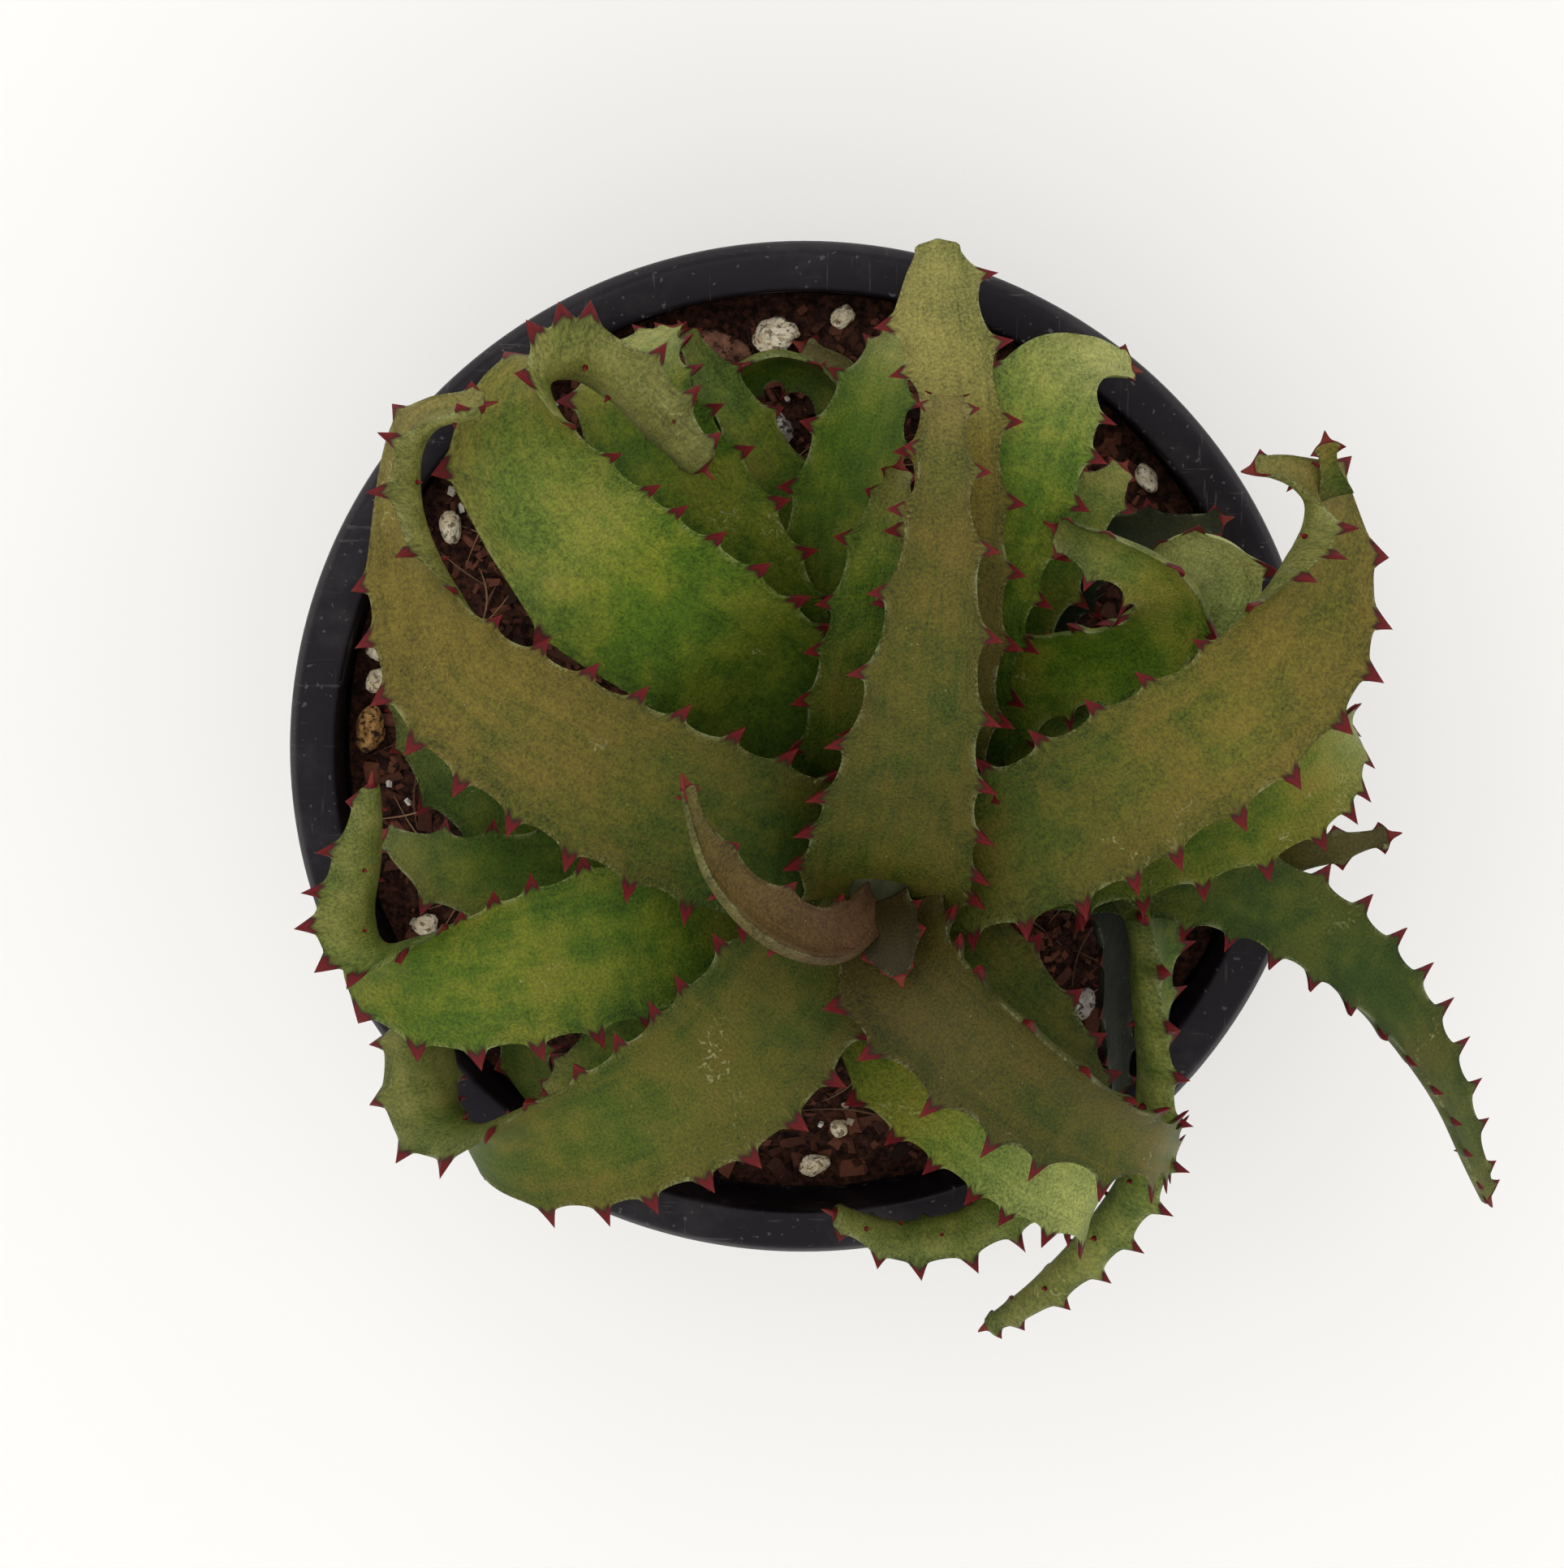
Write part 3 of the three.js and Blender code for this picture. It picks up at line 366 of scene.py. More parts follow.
            (9, -7, 82.5, 9, 0, 0.5), (20, -6.4, 87, 8.4, 20, 0.6), (27.4, -6.4, 90.4, 8, 55, 0.7),
            (29.9, -11, 91.5, 7.6, 85, 0.75), (30.2, -17, 91, 7.4, 100, 0.75),
            (30.8, -26, 88.8, 7, 118, 0.75), (30, -34.5, 85.6, 6.4, 130, 0.7),
            (25.8, -42.5, 82.2, 5.2, 136, 0.7), (21, -48, 79.8, 3.6, 140, 0.7),
            (16.8, -51.3, 78.2, 1.8, 140, 0.6),
        ],
    ),
    dict(
        name="east_drooping", thick=3, curl=1, bronze=(0.05, 0.05, 0.15, 0.35, 0.45),
        painted_light=(0.4, 0.4, 0.4, 0.5, 0.85),
        spine=[
            (9, -6.5, 86, 10, 0, 0.5), (26.5, -6.5, 90.5, 9.4, 0, 0.5), (36.5, -8, 92.5, 8.8, 5, 0.55),
            (44, -12.4, 91, 8.2, 12, 0.6), (51, -19.5, 87, 7, 20, 0.75), (56.5, -28, 82.5, 5.2, 28, 0.85),
            (59.5, -35, 79, 3.6, 32, 0.8), (61.4, -39.6, 77, 2, 35, 0.7),
        ],
    ),
    dict(
        name="north_low", thick=2.4, curl=0, bronze=(0.1, 0.15, 0.2, 0.3, 0.3),
        painted_light=(0.4, 0.5, 0.65, 0.95, 1.1),
        spine=[
            (4, -2, 80, 7, 0, 0.5), (0.5, 12, 83, 7, 0, 0.5), (-2, 25, 84.5, 6, 0, 0.55),
            (-5.5, 31, 84, 5, 0, 0.6), (-8.5, 35, 82.5, 3.8, 0, 0.6), (-10, 37.5, 82, 1.6, 0, 0.6),
        ],
    ),
    dict(
        name="north_arch", thick=2.2, curl=0, bronze=(0.1, 0.1, 0.15, 0.2, 0.2),
        painted_light=(0.5, 0.75, 0.9, 0.7, 0.7),
        spine=[
            (3.5, -2, 78, 6, 0, 0.5), (-2, 12, 80, 6, 0, 0.5), (-5, 24.5, 81, 5.5, -20, 0.5),
            (-6, 32, 81.5, 5, -45, 0.5), (-2.5, 34.5, 81, 5.2, -60, 0.5), (1.5, 32.5, 80, 4.6, -60, 0.5),
            (2, 28.5, 78.5, 1.6, -60, 0.5),
        ],
    ),
    dict(
        name="northeast_low", thick=2.2, curl=0, bronze=(0.1, 0.15, 0.2, 0.35, 0.4),
        painted_light=(0.3, 0.4, 0.6, 0.95, 1.4),
        spine=[
            (7.5, -3, 80, 6, 0, 0.5), (17, 11, 83.5, 6.5, 0, 0.5), (21, 18.5, 85, 6.8, 0, 0.5),
            (23.5, 22.5, 84, 6, 0, 0.5), (26, 25, 82, 3.6, 0, 0.5), (27, 26, 80.5, 1.6, 0, 0.5),
        ],
    ),
    # Painted shade: a leaf kept nearly black by its painted light, filling the dark hollow beneath the
    # northeast leaves.
    dict(
        name="northeast_dark", thick=2.2, curl=0, bronze=(0, 0, 0.1, 0.2, 0.2),
        painted_light=(0.08, 0.08, 0.08, 0.08, 0.14),
        spine=[
            (7.5, -3, 78, 6, 0, 0.5), (16.5, 7, 80, 6, 0, 0.5), (25.5, 19.5, 81.5, 6, 0, 0.5),
            (30.5, 20.5, 81, 4.6, 0, 0.5), (35.5, 21.5, 80, 1.6, 0, 0.5),
        ],
    ),
    dict(
        name="east_low", thick=2.2, curl=0, bronze=(0.1, 0.2, 0.3, 0.6, 0.8),
        painted_light=(0.3, 0.25, 0.5, 0.6, 0.4),
        spine=[
            (9, -5.5, 79.5, 6, 0, 0.5), (25, -7.5, 84.5, 6, 0, 0.5), (35, -6, 89, 5.4, 0, 0.5),
            (42.5, -5, 91, 3.6, 0, 0.6), (48.5, -3.5, 92, 1.6, 0, 0.6),
        ],
    ),
    # Painted shade: a leaf kept nearly black by its painted light, low beneath the southeast leaves.
    dict(
        name="southeast_dark", thick=2.2, curl=0, bronze=(0, 0, 0.1, 0.1, 0.2),
        painted_light=(0.15, 0.1, 0.05, 0.06, 0.12),
        spine=[
            (8.5, -7.5, 80, 7, 0, 0.5), (18, -8.5, 83, 6.5, 20, 0.5), (25, -8.8, 85.4, 6, 50, 0.5),
            (26.7, -13, 86, 5.4, 60, 0.5), (27, -20, 85.4, 5, 60, 0.5), (27.6, -28, 83, 2.4, 60, 0.5),
        ],
    ),
    dict(
        name="west_low", thick=2.6, curl=0, bronze=(0.1, 0.15, 0.2, 0.3, 0.3),
        painted_light=(0.35, 0.5, 0.6, 0.8, 0.65),
        spine=[
            (1.5, -7, 82.5, 11, 0, 0.5), (-12, -9, 85, 11, 0, 0.45), (-21.5, -8.5, 86.5, 10, 0, 0.45),
            (-29, -8, 86, 8, 0, 0.5), (-34, -6.5, 84, 5, 0, 0.5), (-36, -5.5, 82, 1.6, 0, 0.5),
        ],
    ),
    dict(
        name="west_dark", thick=2.4, curl=0, bronze=(0.1, 0.1, 0.2), painted_light=(0.5, 0.55, 0.6),
        spine=[
            (1, -6.5, 79, 9, 0, 0.5), (-13.5, -8, 80.5, 9, 0, 0.5), (-24.5, -4.5, 81.5, 8.5, 0, 0.5),
            (-31, 0, 81, 6.5, 0, 0.5), (-34, 4, 80, 3.4, 0, 0.6), (-35, 6, 79.5, 1.6, 0, 0.6),
        ],
    ),
    dict(
        name="southwest_low", thick=2.6, curl=0, bronze=(0.1, 0.2, 0.3, 0.4, 0.4),
        painted_light=(0.5, 0.5, 0.55, 0.95, 1.2),
        spine=[
            (2.5, -9, 84, 10, 0, 0.5), (-6.5, -18, 87.5, 10.5, 0, 0.5), (-14, -22, 89.5, 9, 0, 0.5),
            (-18.5, -25, 89.5, 7, 0, 0.5), (-22, -27, 88, 1.6, 0, 0.5),
        ],
    ),
    dict(
        name="southwest_dark", thick=2.2, curl=0, bronze=(0.1, 0.2, 0.3), painted_light=(0.5, 0.6, 0.7),
        spine=[
            (1.5, -8.5, 80, 7, 0, 0.5), (-10, -16.5, 82, 7, 0, 0.5), (-19, -17.5, 84.5, 6, 0, 0.5),
            (-24, -21, 85, 5.4, 20, 0.6), (-23.5, -26.5, 84.5, 4.6, 30, 0.6),
            (-19, -31.5, 83.5, 1.6, 30, 0.5),
        ],
    ),
    dict(
        name="north_dry", thick=2, curl=0, bronze=(0.8, 1, 1), painted_light=(0.5, 0.6, 0.6),
        spine=[
            (5, -1.5, 76.5, 5, 0, 0.5), (5, 11.5, 77, 5, 0, 0.5), (4.5, 27, 78, 4.2, 0, 0.5),
            (3.5, 34, 78, 3, 0, 0.5), (0, 36, 77.5, 1.6, 0, 0.5),
        ],
    ),
]

# Loose stones: node, half sizes along x, y and z, turn in degrees, how crumbly, finish.
STONES = [
    ("stone_cream_north", (2.1, 1.7, 1.5), 20, 0.30, "perlite"),
    ("stone_red_chip", (2.6, 1.6, 0.9), -15, 0.16, "lava"),
    ("stone_pumice", (2.1, 2.0, 1.7), 40, 0.16, "pumice"),
    ("stone_cream_northwest", (1.1, 1.6, 1.2), 10, 0.10, "perlite"),
    ("stone_cream_west_upper", (1.2, 1.0, 1.0), 0, 0.18, "perlite"),
    ("stone_cream_west_lower", (1.3, 1.1, 1.1), 50, 0.16, "perlite"),
    ("stone_lava", (1.5, 2.2, 1.6), -10, 0.16, "ochre"),
    ("stone_white_north", (1.2, 0.9, 0.9), 30, 0.16, "perlite"),
    ("stone_cream_east", (1.0, 1.4, 1.0), 25, 0.12, "perlite"),
    ("stone_cream_southwest", (1.3, 1.0, 1.0), 15, 0.14, "perlite"),
    ("stone_cream_south", (1.5, 1.0, 1.0), 20, 0.18, "perlite"),
    ("stone_white_south", (1.0, 0.9, 0.9), 0, 0.16, "perlite"),
    ("stone_tan_east", (1.4, 1.0, 1.0), -20, 0.14, "pumice"),
    ("stone_pale_southeast", (1.7, 1.3, 1.2), 70, 0.16, "pumice"),
]


# Meshes

def store(name, points, faces, layers=None):
    """A smooth-shaded piece from points in millimetres; layers hold one value or vector a point."""
    mesh = bpy.data.meshes.new(name)
    faces = [face for group in faces for face in group.tolist()]
    mesh.from_pydata((np.asarray(points) * METRES).tolist(), [], faces)
    for layer, values in (layers or {}).items():
        values = np.asarray(values, dtype=np.float32)
        if values.ndim == 2:
            mesh.attributes.new(layer, "FLOAT_VECTOR", "POINT").data.foreach_set("vector", values.ravel())
        else:
            mesh.attributes.new(layer, "FLOAT", "POINT").data.foreach_set("value", values)
    mesh.polygons.foreach_set("use_smooth", np.ones(len(mesh.polygons), dtype=bool))
    mesh.update()
    piece = bpy.data.objects.new(name, mesh)
    bpy.context.collection.objects.link(piece)
    return piece


def ring_faces(rings, around):
    """The four-cornered faces between rings of points, each ring closed on itself."""
    ring, spoke = np.meshgrid(np.arange(rings - 1), np.arange(around), indexing="ij")
    here = ring * around + spoke
    beside = ring * around + (spoke + 1) % around
    return np.stack([here, here + around, beside + around, beside], -1).reshape(-1, 4)


def closed_faces(rings, around, flipped=False):
    """Rings of points closed by fans on two more points at the end of the list."""
    spoke = np.arange(around)
    beside = (spoke + 1) % around
    first, last = rings * around, rings * around + 1
    end = (rings - 1) * around
    start_fan = np.stack([np.full(around, first), spoke, beside], -1)
    end_fan = np.stack([np.full(around, last), end + beside, end + spoke], -1)
    groups = [ring_faces(rings, around), start_fan, end_fan]
    return [group[:, ::-1] for group in groups] if flipped else groups


def circles(radius, height, angle):
    """Rings of points round the upright axis, one for each row of radius and height."""
    across, along = radius * np.cos(angle), radius * np.sin(angle)
    return np.stack([across, along, np.broadcast_to(height, across.shape)], -1)


def smoothstep(low, high, values):
    """0 below low, 1 above high, and a smooth cubic rise between."""
    share = np.clip((values - low) / (high - low), 0, 1)
    return share * share * (3 - 2 * share)


def waves(coordinates, wavelengths, seed):
    """A smooth uneven field from -1 to 1: sine waves in random directions, longer ones stronger."""
    chance = np.random.default_rng(seed)
    total = np.zeros(coordinates.shape[:-1])
    weight = 0.0
    for wavelength in wavelengths:
        for _ in range(4):
            direction = chance.normal(size=coordinates.shape[-1])
            direction *= 2 * np.pi / wavelength / np.linalg.norm(direction)
            total += wavelength * np.sin(coordinates @ direction + chance.uniform(0, 2 * np.pi))
            weight += wavelength
    return total / weight * 2


def lumps(x, y, cell, seed):
    """Uneven ground from 0 to 1: random heights on a square lattice, blended smoothly between."""
    heights = np.random.default_rng(seed).random((64, 64))
    column, row = np.floor(x / cell).astype(int), np.floor(y / cell).astype(int)
    u, v = smoothstep(0, 1, x / cell - column), smoothstep(0, 1, y / cell - row)

    def corner(right, up):
        return heights[(column + right) % 64, (row + up) % 64]

    low = corner(0, 0) * (1 - u) + corner(1, 0) * u
    high = corner(0, 1) * (1 - u) + corner(1, 1) * u
    return low * (1 - v) + high * v


# Leaves

def smooth_curve(rows, per_span=24):
    """A centripetal Catmull-Rom curve through rows of numbers.

    Knots are spaced by the square root of the chord, and each point is a blend of blends of
    its four nearest rows. Beyond each end, the first and last chords are continued.
    """
    rows = np.asarray(rows, dtype=float)
    rows = np.vstack([2 * rows[0] - rows[1], rows, 2 * rows[-1] - rows[-2]])
    gaps = np.sqrt(np.linalg.norm(np.diff(rows[:, :3], axis=0), axis=1))
    pieces = []
    for i in range(1, len(rows) - 2):
        before, start, stop, after = np.cumsum([0, gaps[i - 1], gaps[i], gaps[i + 1]])
        at = np.linspace(start, stop, per_span, endpoint=False)[:, None]

        def blend(low, high, a, b):
            return ((b - at) * low + (at - a) * high) / (b - a)

        first = blend(rows[i - 1], rows[i], before, start)
        second = blend(rows[i], rows[i + 1], start, stop)
        third = blend(rows[i + 1], rows[i + 2], stop, after)
        early, late = blend(first, second, before, stop), blend(second, third, start, after)
        pieces.append(blend(early, late, start, stop))
    return np.vstack(pieces + [rows[-2]])


def at_distances(curve, distances):
    """The curve's rows at given distances along it."""
    lengths = np.append(0, np.cumsum(np.linalg.norm(np.diff(curve[:, :3], axis=0), axis=1)))
    return np.stack([np.interp(distances, lengths, column) for column in curve.T], 1)


def curve_length(curve):
    """The length of a curve that is given as points joined by straight lines."""
    return np.linalg.norm(np.diff(curve[:, :3], axis=0), axis=1).sum()


def softened(values, reach):
    """Each row averaged with its neighbours, weighted by a bell curve of the given reach."""
    half = int(3 * reach)
    bell = np.exp(-0.5 * (np.arange(-half, half + 1) / reach) ** 2)
    padded = np.pad(values, ((half, half), (0, 0)), mode="edge")
    return np.stack([np.convolve(column, bell / bell.sum(), "valid") for column in padded.T], 1)


def carried_frames(points, roll):
    """Tangent, side and up vectors along a path: carried without twist, then rolled."""
    tangents = softened(np.gradient(points, axis=0), TURN_REACH / ROW_STEP)
    tangents /= np.linalg.norm(tangents, axis=1)[:, None]
    side = np.cross(tangents[0], (0, 0, 1))
    sides = np.empty_like(tangents)
    for i, tangent in enumerate(tangents):
        side = side - side @ tangent * tangent
        side /= np.linalg.norm(side)
        sides[i] = side
    ups = np.cross(sides, tangents)
    angle = np.radians(roll)[:, None]
    rolled_sides = sides * np.cos(angle) + ups * np.sin(angle)
    rolled_ups = ups * np.cos(angle) - sides * np.sin(angle)
    return tangents, rolled_sides, rolled_ups


def cross_section(width, fold, curl, columns):
    """Place and slope of the upper face at each column, for every ring.

    The slope at share u of the half width is fold * u * (1 + lean * u), where lean grows with
    the fold on the curl side, and the place is its running sum from the midrib.
    """
    share = np.linspace(-1, 1, SECTION_STEPS + 1)
    lean = curl * CURL_STRENGTH * np.clip((fold - 0.5) / 0.5, 0, 1)
    slope = fold[:, None] * share * (1 + lean[:, None] * share)
    step = (width / SECTION_STEPS)[:, None]
    middle = SECTION_STEPS // 2

    def running_sum(values):
        total = np.cumsum((values[:, 1:] + values[:, :-1]) / 2, axis=1) * step
        total = np.hstack([np.zeros((len(total), 1)), total])
        return total - total[:, middle : middle + 1]

    across = running_sum(np.cos(slope))[:, columns]
    height = running_sum(np.sin(slope))[:, columns]
    sink = CHANNEL_SHARE * width / 2 * (1 - np.cos(fold)) / fold
    return across, height - sink[:, None], slope[:, columns], share[columns]


def margin_reach(along, teeth, length):
    """How deep the bays between a margin's teeth are, and how much of a row is tooth, 0 to 1.

    A bay is BAY_DEPTH * (1 - |2f - 1|^2.2) deep, f being the share of the way to the next
    tooth. A tooth rises as (1 - distance / half base)^1.25.
    """
    stops = np.concatenate([[-3.0], teeth, [length]])
    after = np.clip(np.searchsorted(stops, along, side="right"), 1, len(stops) - 1)
    gap = stops[after] - stops[after - 1]
    share = (along - stops[after - 1]) / gap
    bay = BAY_DEPTH * np.clip(gap / 5, 0.3, 1.2) * (1 - np.abs(2 * share - 1) ** 2.2)
    nearest = np.abs(along[:, None] - np.asarray(teeth)).min(axis=1)
    return bay, np.clip(1 - nearest / TOOTH_HALF_BASE, 0, 1) ** 1.25


def in_steps(share, values):
    """Values given at even steps from 0 to 1, read at any share between."""
    return np.interp(share, np.linspace(0, 1, len(values)), values)


def leaf_points(leaf):
    """The rings of a leaf, from base to tip, and the layers that its skin reads.

    The leaf ends in a tooth, or is rounded off where its tip_tooth is smaller than that.
    """
    curve = smooth_curve(leaf["spine"])
    blade = curve_length(curve)
    tip_tooth = leaf.get("tip_tooth", TIP_TOOTH)
    rounding = np.clip((curve[-1, 3] - tip_tooth) / 3, 0.05, 1)
    point = rounding + tip_tooth
    toothed_end = tip_tooth == TIP_TOOTH
    beyond = curve[-1].copy()
    heading = curve[-1, :3] - curve[-3, :3]
    beyond[:3] += heading * point / np.linalg.norm(heading)
    curve = np.vstack([curve, beyond])
    length = blade + point
    rows_in_all = int(length / ROW_STEP)
    along = np.linspace(0, length, rows_in_all + 1)
    teeth = []
    for margin in ("right", "left"):
        places = np.asarray(leaf.get(margin, np.arange(6, blade - 2, TOOTH_STEP)))
        places = np.append(places[places < blade - 2], [blade - 0.3] if toothed_end else [])
        teeth.append(along[np.rint(places / length * rows_in_all).astype(int)])
    rows = at_distances(curve, along)
    past = np.clip(along - blade, 0, None)
    end = past / point
    round_end = rows[:, 3] * np.sqrt(np.clip(1 - (past / rounding) ** 2, 0, 1))
    width = np.minimum(np.maximum(round_end, tip_tooth * (1 - end) + 0.08), rows[:, 3])
    fold = np.maximum(rows[:, 5], 0.05)
    tangents, sides, ups = carried_frames(rows[:, :3], rows[:, 4])
    share = along / length

    spread = np.cos(np.linspace(0, np.pi, UPPER_COLUMNS))
    columns = np.rint((spread + 1) / 2 * SECTION_STEPS).astype(int)
    across, height, slope, u = cross_section(width, fold, leaf["curl"], columns)
    size = np.clip(rows[:, 3] / 6, 0.55, 1) * smoothstep(0, 3, along) * (1 - end)
    tall = leaf.get("tooth_size", 1) * TOOTH_HEIGHT
    reach = np.zeros_like(across)
    tooth = np.zeros_like(across)
    edge = smoothstep(0.5, 1, np.abs(u))
    for sign, places, depth in zip((1, -1), teeth, leaf.get("bays", (1, 1))):
        bay, rise = margin_reach(along, places, length)
        mine = np.sign(u) == sign
        reach += sign * mine * size[:, None] * (
            rise[:, None] * tall * smoothstep(0.68, 1, np.abs(u)) - bay[:, None] * depth * edge)
        tooth += rise[:, None] * smoothstep(0.84, 0.94, np.abs(u)) * mine
    across = across + reach * np.cos(slope)
    height = height + reach * np.sin(slope)
    skin_place = np.stack([np.broadcast_to(u * width[:, None] / 2, across.shape),
                           np.broadcast_to(along[:, None], across.shape),
                           np.full(across.shape, leaf["seed"] * 37.0)], -1)
    relief = 0.10 * waves(skin_place[..., :2], (14, 7, 4), leaf["seed"]) * (1 - edge)
    depth = leaf["thick"] * (1 - THINNING_TO_TIP * share) * np.sqrt(width / width.max())
    depth = depth[:, None] * (1 - np.abs(u) ** EDGE_POWER)

    def place(lift):
        x = across - lift * np.sin(slope)
        z = height + lift * np.cos(slope)
        lean = TOOTH_LEAN * tall * tooth * size[:, None]
        return (rows[:, None, :3] + x[..., None] * sides[:, None] + z[..., None] * ups[:, None]
                + lean[..., None] * tangents[:, None])

    upper = place(relief)
    lower = place(-depth - 0.5 * relief * (np.abs(u) < 1))[:, -2:0:-1]

    def both(values, under=None):
        """A value for each point of the upper face, and the same or another for the lower."""
        return np.hstack([values, values[:, -2:0:-1] if under is None else under])

    ones = np.ones_like(across)
    if toothed_end:
        tooth = np.maximum(tooth, smoothstep(0.6, 1.2, past / rounding)[:, None])
    layers = {
        "skin_place": np.concatenate([skin_place, skin_place[:, -2:0:-1]], 1).reshape(-1, 3),
        "tooth": both(tooth).ravel(),
        # 1 - u²: the skin paints shade with it, lighter along the middle and darker towards the margins.
        "middle": both((1 - u**2) * ones).ravel(),
        "margin": both(np.exp(-(1 - np.abs(u)) * width[:, None] / 2 / 0.22)).ravel(),
        "under": both(0 * ones, ones[:, -2:0:-1]).ravel(),
        "bronze": both(in_steps(share, leaf["bronze"])[:, None] * ones).ravel(),
        # Painted light and shade, from base to tip.
        "painted_light": both(in_steps(share, leaf["painted_light"])[:, None] * ones).ravel(),
        "tipward": both(share[:, None] * ones).ravel(),
    }
    return np.concatenate([upper, lower], 1), layers


def end_strips(rings, around):
    """Strips between the upper and lower points that close the first and the last ring."""
    i = np.arange(1, around // 2 - 1)
    strip = np.stack([i, i + 1, around - i - 1, around - i], -1)
    ends = np.array([[0, 1, around - 1], [around // 2 - 1, around // 2, around // 2 + 1]])
    last = (rings - 1) * around
    return [strip, ends, (strip + last)[:, ::-1], (ends + last)[:, ::-1]]


def prickles(points, seed):
    """Small blunt cones in two rows along the keel, over the outer half of the underside.

    Each is a ring of points sunk in the skin, a narrower ring, and an apex.
    """
    chance = np.random.default_rng(seed)
    rings, around = points.shape[:2]
    row = np.arange(int(rings * 0.42), int(rings * 0.96), PRICKLE_ROWS)
    row = row + chance.integers(-4, 5, len(row))
    column = around * 3 // 4 + np.where(np.arange(len(row)) % 2, 3, -3)
    column = column + chance.integers(-1, 2, len(row))
    foot = points[row, column]
    forward = points[row + 1, column] - points[row - 1, column]
    sideways = points[row, column + 1] - points[row, column - 1]
    out = np.cross(forward, sideways)
    forward, sideways, out = (v / np.linalg.norm(v, axis=1)[:, None] for v in (forward, sideways, out))
    radius = chance.uniform(*PRICKLE_RADII, len(row)) * np.linspace(1, 0.7, len(row))
    turn = np.linspace(0, 2 * np.pi, PRICKLE_SIDES, endpoint=False)
    rim = np.cos(turn)[:, None, None] * forward + np.sin(turn)[:, None, None] * sideways
    low = foot + rim * radius[:, None] - PRICKLE_SINK * out
    high = foot + 0.5 * rim * radius[:, None] + radius[:, None] * out
    apex = foot + (radius * 2.2)[:, None] * out
    cones = np.concatenate([low, high, apex[None]]).transpose(1, 0, 2)
    n = PRICKLE_SIDES
    i = np.arange(n)
    walls = np.stack([i, (i + 1) % n, (i + 1) % n + n, i + n], -1)
    tops = np.stack([i + n, (i + 1) % n + n, np.full(n, 2 * n)], -1)
    floors = np.array([[3, 2, 1, 0], [5, 4, 3, 0]])
    shift = cones.shape[1] * np.arange(len(row))[:, None, None]
    faces = [(part + shift).reshape(-1, part.shape[1]) for part in (walls, floors, tops)]
    redness = np.tile([0.55] * n + [0.9] * n + [1.0], len(row))
    return cones.reshape(-1, 3), faces, redness


def leaf_body(leaf):
    """Points, faces and layers of a blade with its teeth and prickles."""
    points, layers = leaf_points(leaf)
    rings, around = points.shape[:2]
    faces = [ring_faces(rings, around), *end_strips(rings, around)]
    places = points.reshape(-1, 3)
    cones, cone_faces, redness = prickles(points, leaf["seed"] + 500)
    faces += [group + len(places) for group in cone_faces]
    row = len(places) * 2 // 3
    for layer, values in layers.items():
        extra = np.repeat(values[row : row + 1], len(cones), axis=0)
        layers[layer] = np.concatenate([values, redness if layer == "tooth" else extra])
    return np.vstack([places, cones]), faces, layers


def make_leaf(leaf):
    """A leaf as one mesh, with the small spur beside its tip where it has one."""
    places, faces, layers = leaf_body(leaf)
    if "spur" in leaf:
        spur = {"spine": leaf["spur"], "thick": SPUR_THICKNESS, "curl": 0, "right": [], "left": []}
        more_places, more_faces, more_layers = leaf_body({**leaf, **spur})
        faces += [group + len(places) for group in more_faces]
        places = np.vstack([places, more_places])
        layers = {name: np.concatenate([layers[name], more_layers[name]]) for name in layers}
    return store("aloe_" + leaf["name"], places, faces, layers)


# Pot

def rounded(profile, radius):
    """A profile whose inner corners are rounded by short parabolas, held to the sides' lengths."""
    corners = np.asarray(profile, dtype=float)
    places = [corners[0]]
    for before, corner, after in zip(corners, corners[1:], corners[2:]):
        back, ahead = before - corner, after - corner
        reach_back = min(radius, 0.45 * np.linalg.norm(back)) / np.linalg.norm(back)
        reach_ahead = min(radius, 0.45 * np.linalg.norm(ahead)) / np.linalg.norm(ahead)
        start, stop = corner + back * reach_back, corner + ahead * reach_ahead
        for share in np.linspace(0, 1, 5):
            places.append((1 - share) ** 2 * start + 2 * share * (1 - share) * corner + share**2 * stop)
    return np.array(places + [corners[-1]])


def turned(name, profile, around):
    """A solid of revolution from a profile that starts and ends on the axis."""
    inner = profile[1:-1]
    angle = np.linspace(0, 2 * np.pi, around, endpoint=False)
    rings = circles(inner[:, :1], inner[:, 1:], angle)
    points = np.vstack([rings.reshape(-1, 3), [(0, 0, profile[0][1]), (0, 0, profile[-1][1])]])
    return store(name, points, closed_faces(len(inner), around, flipped=True))


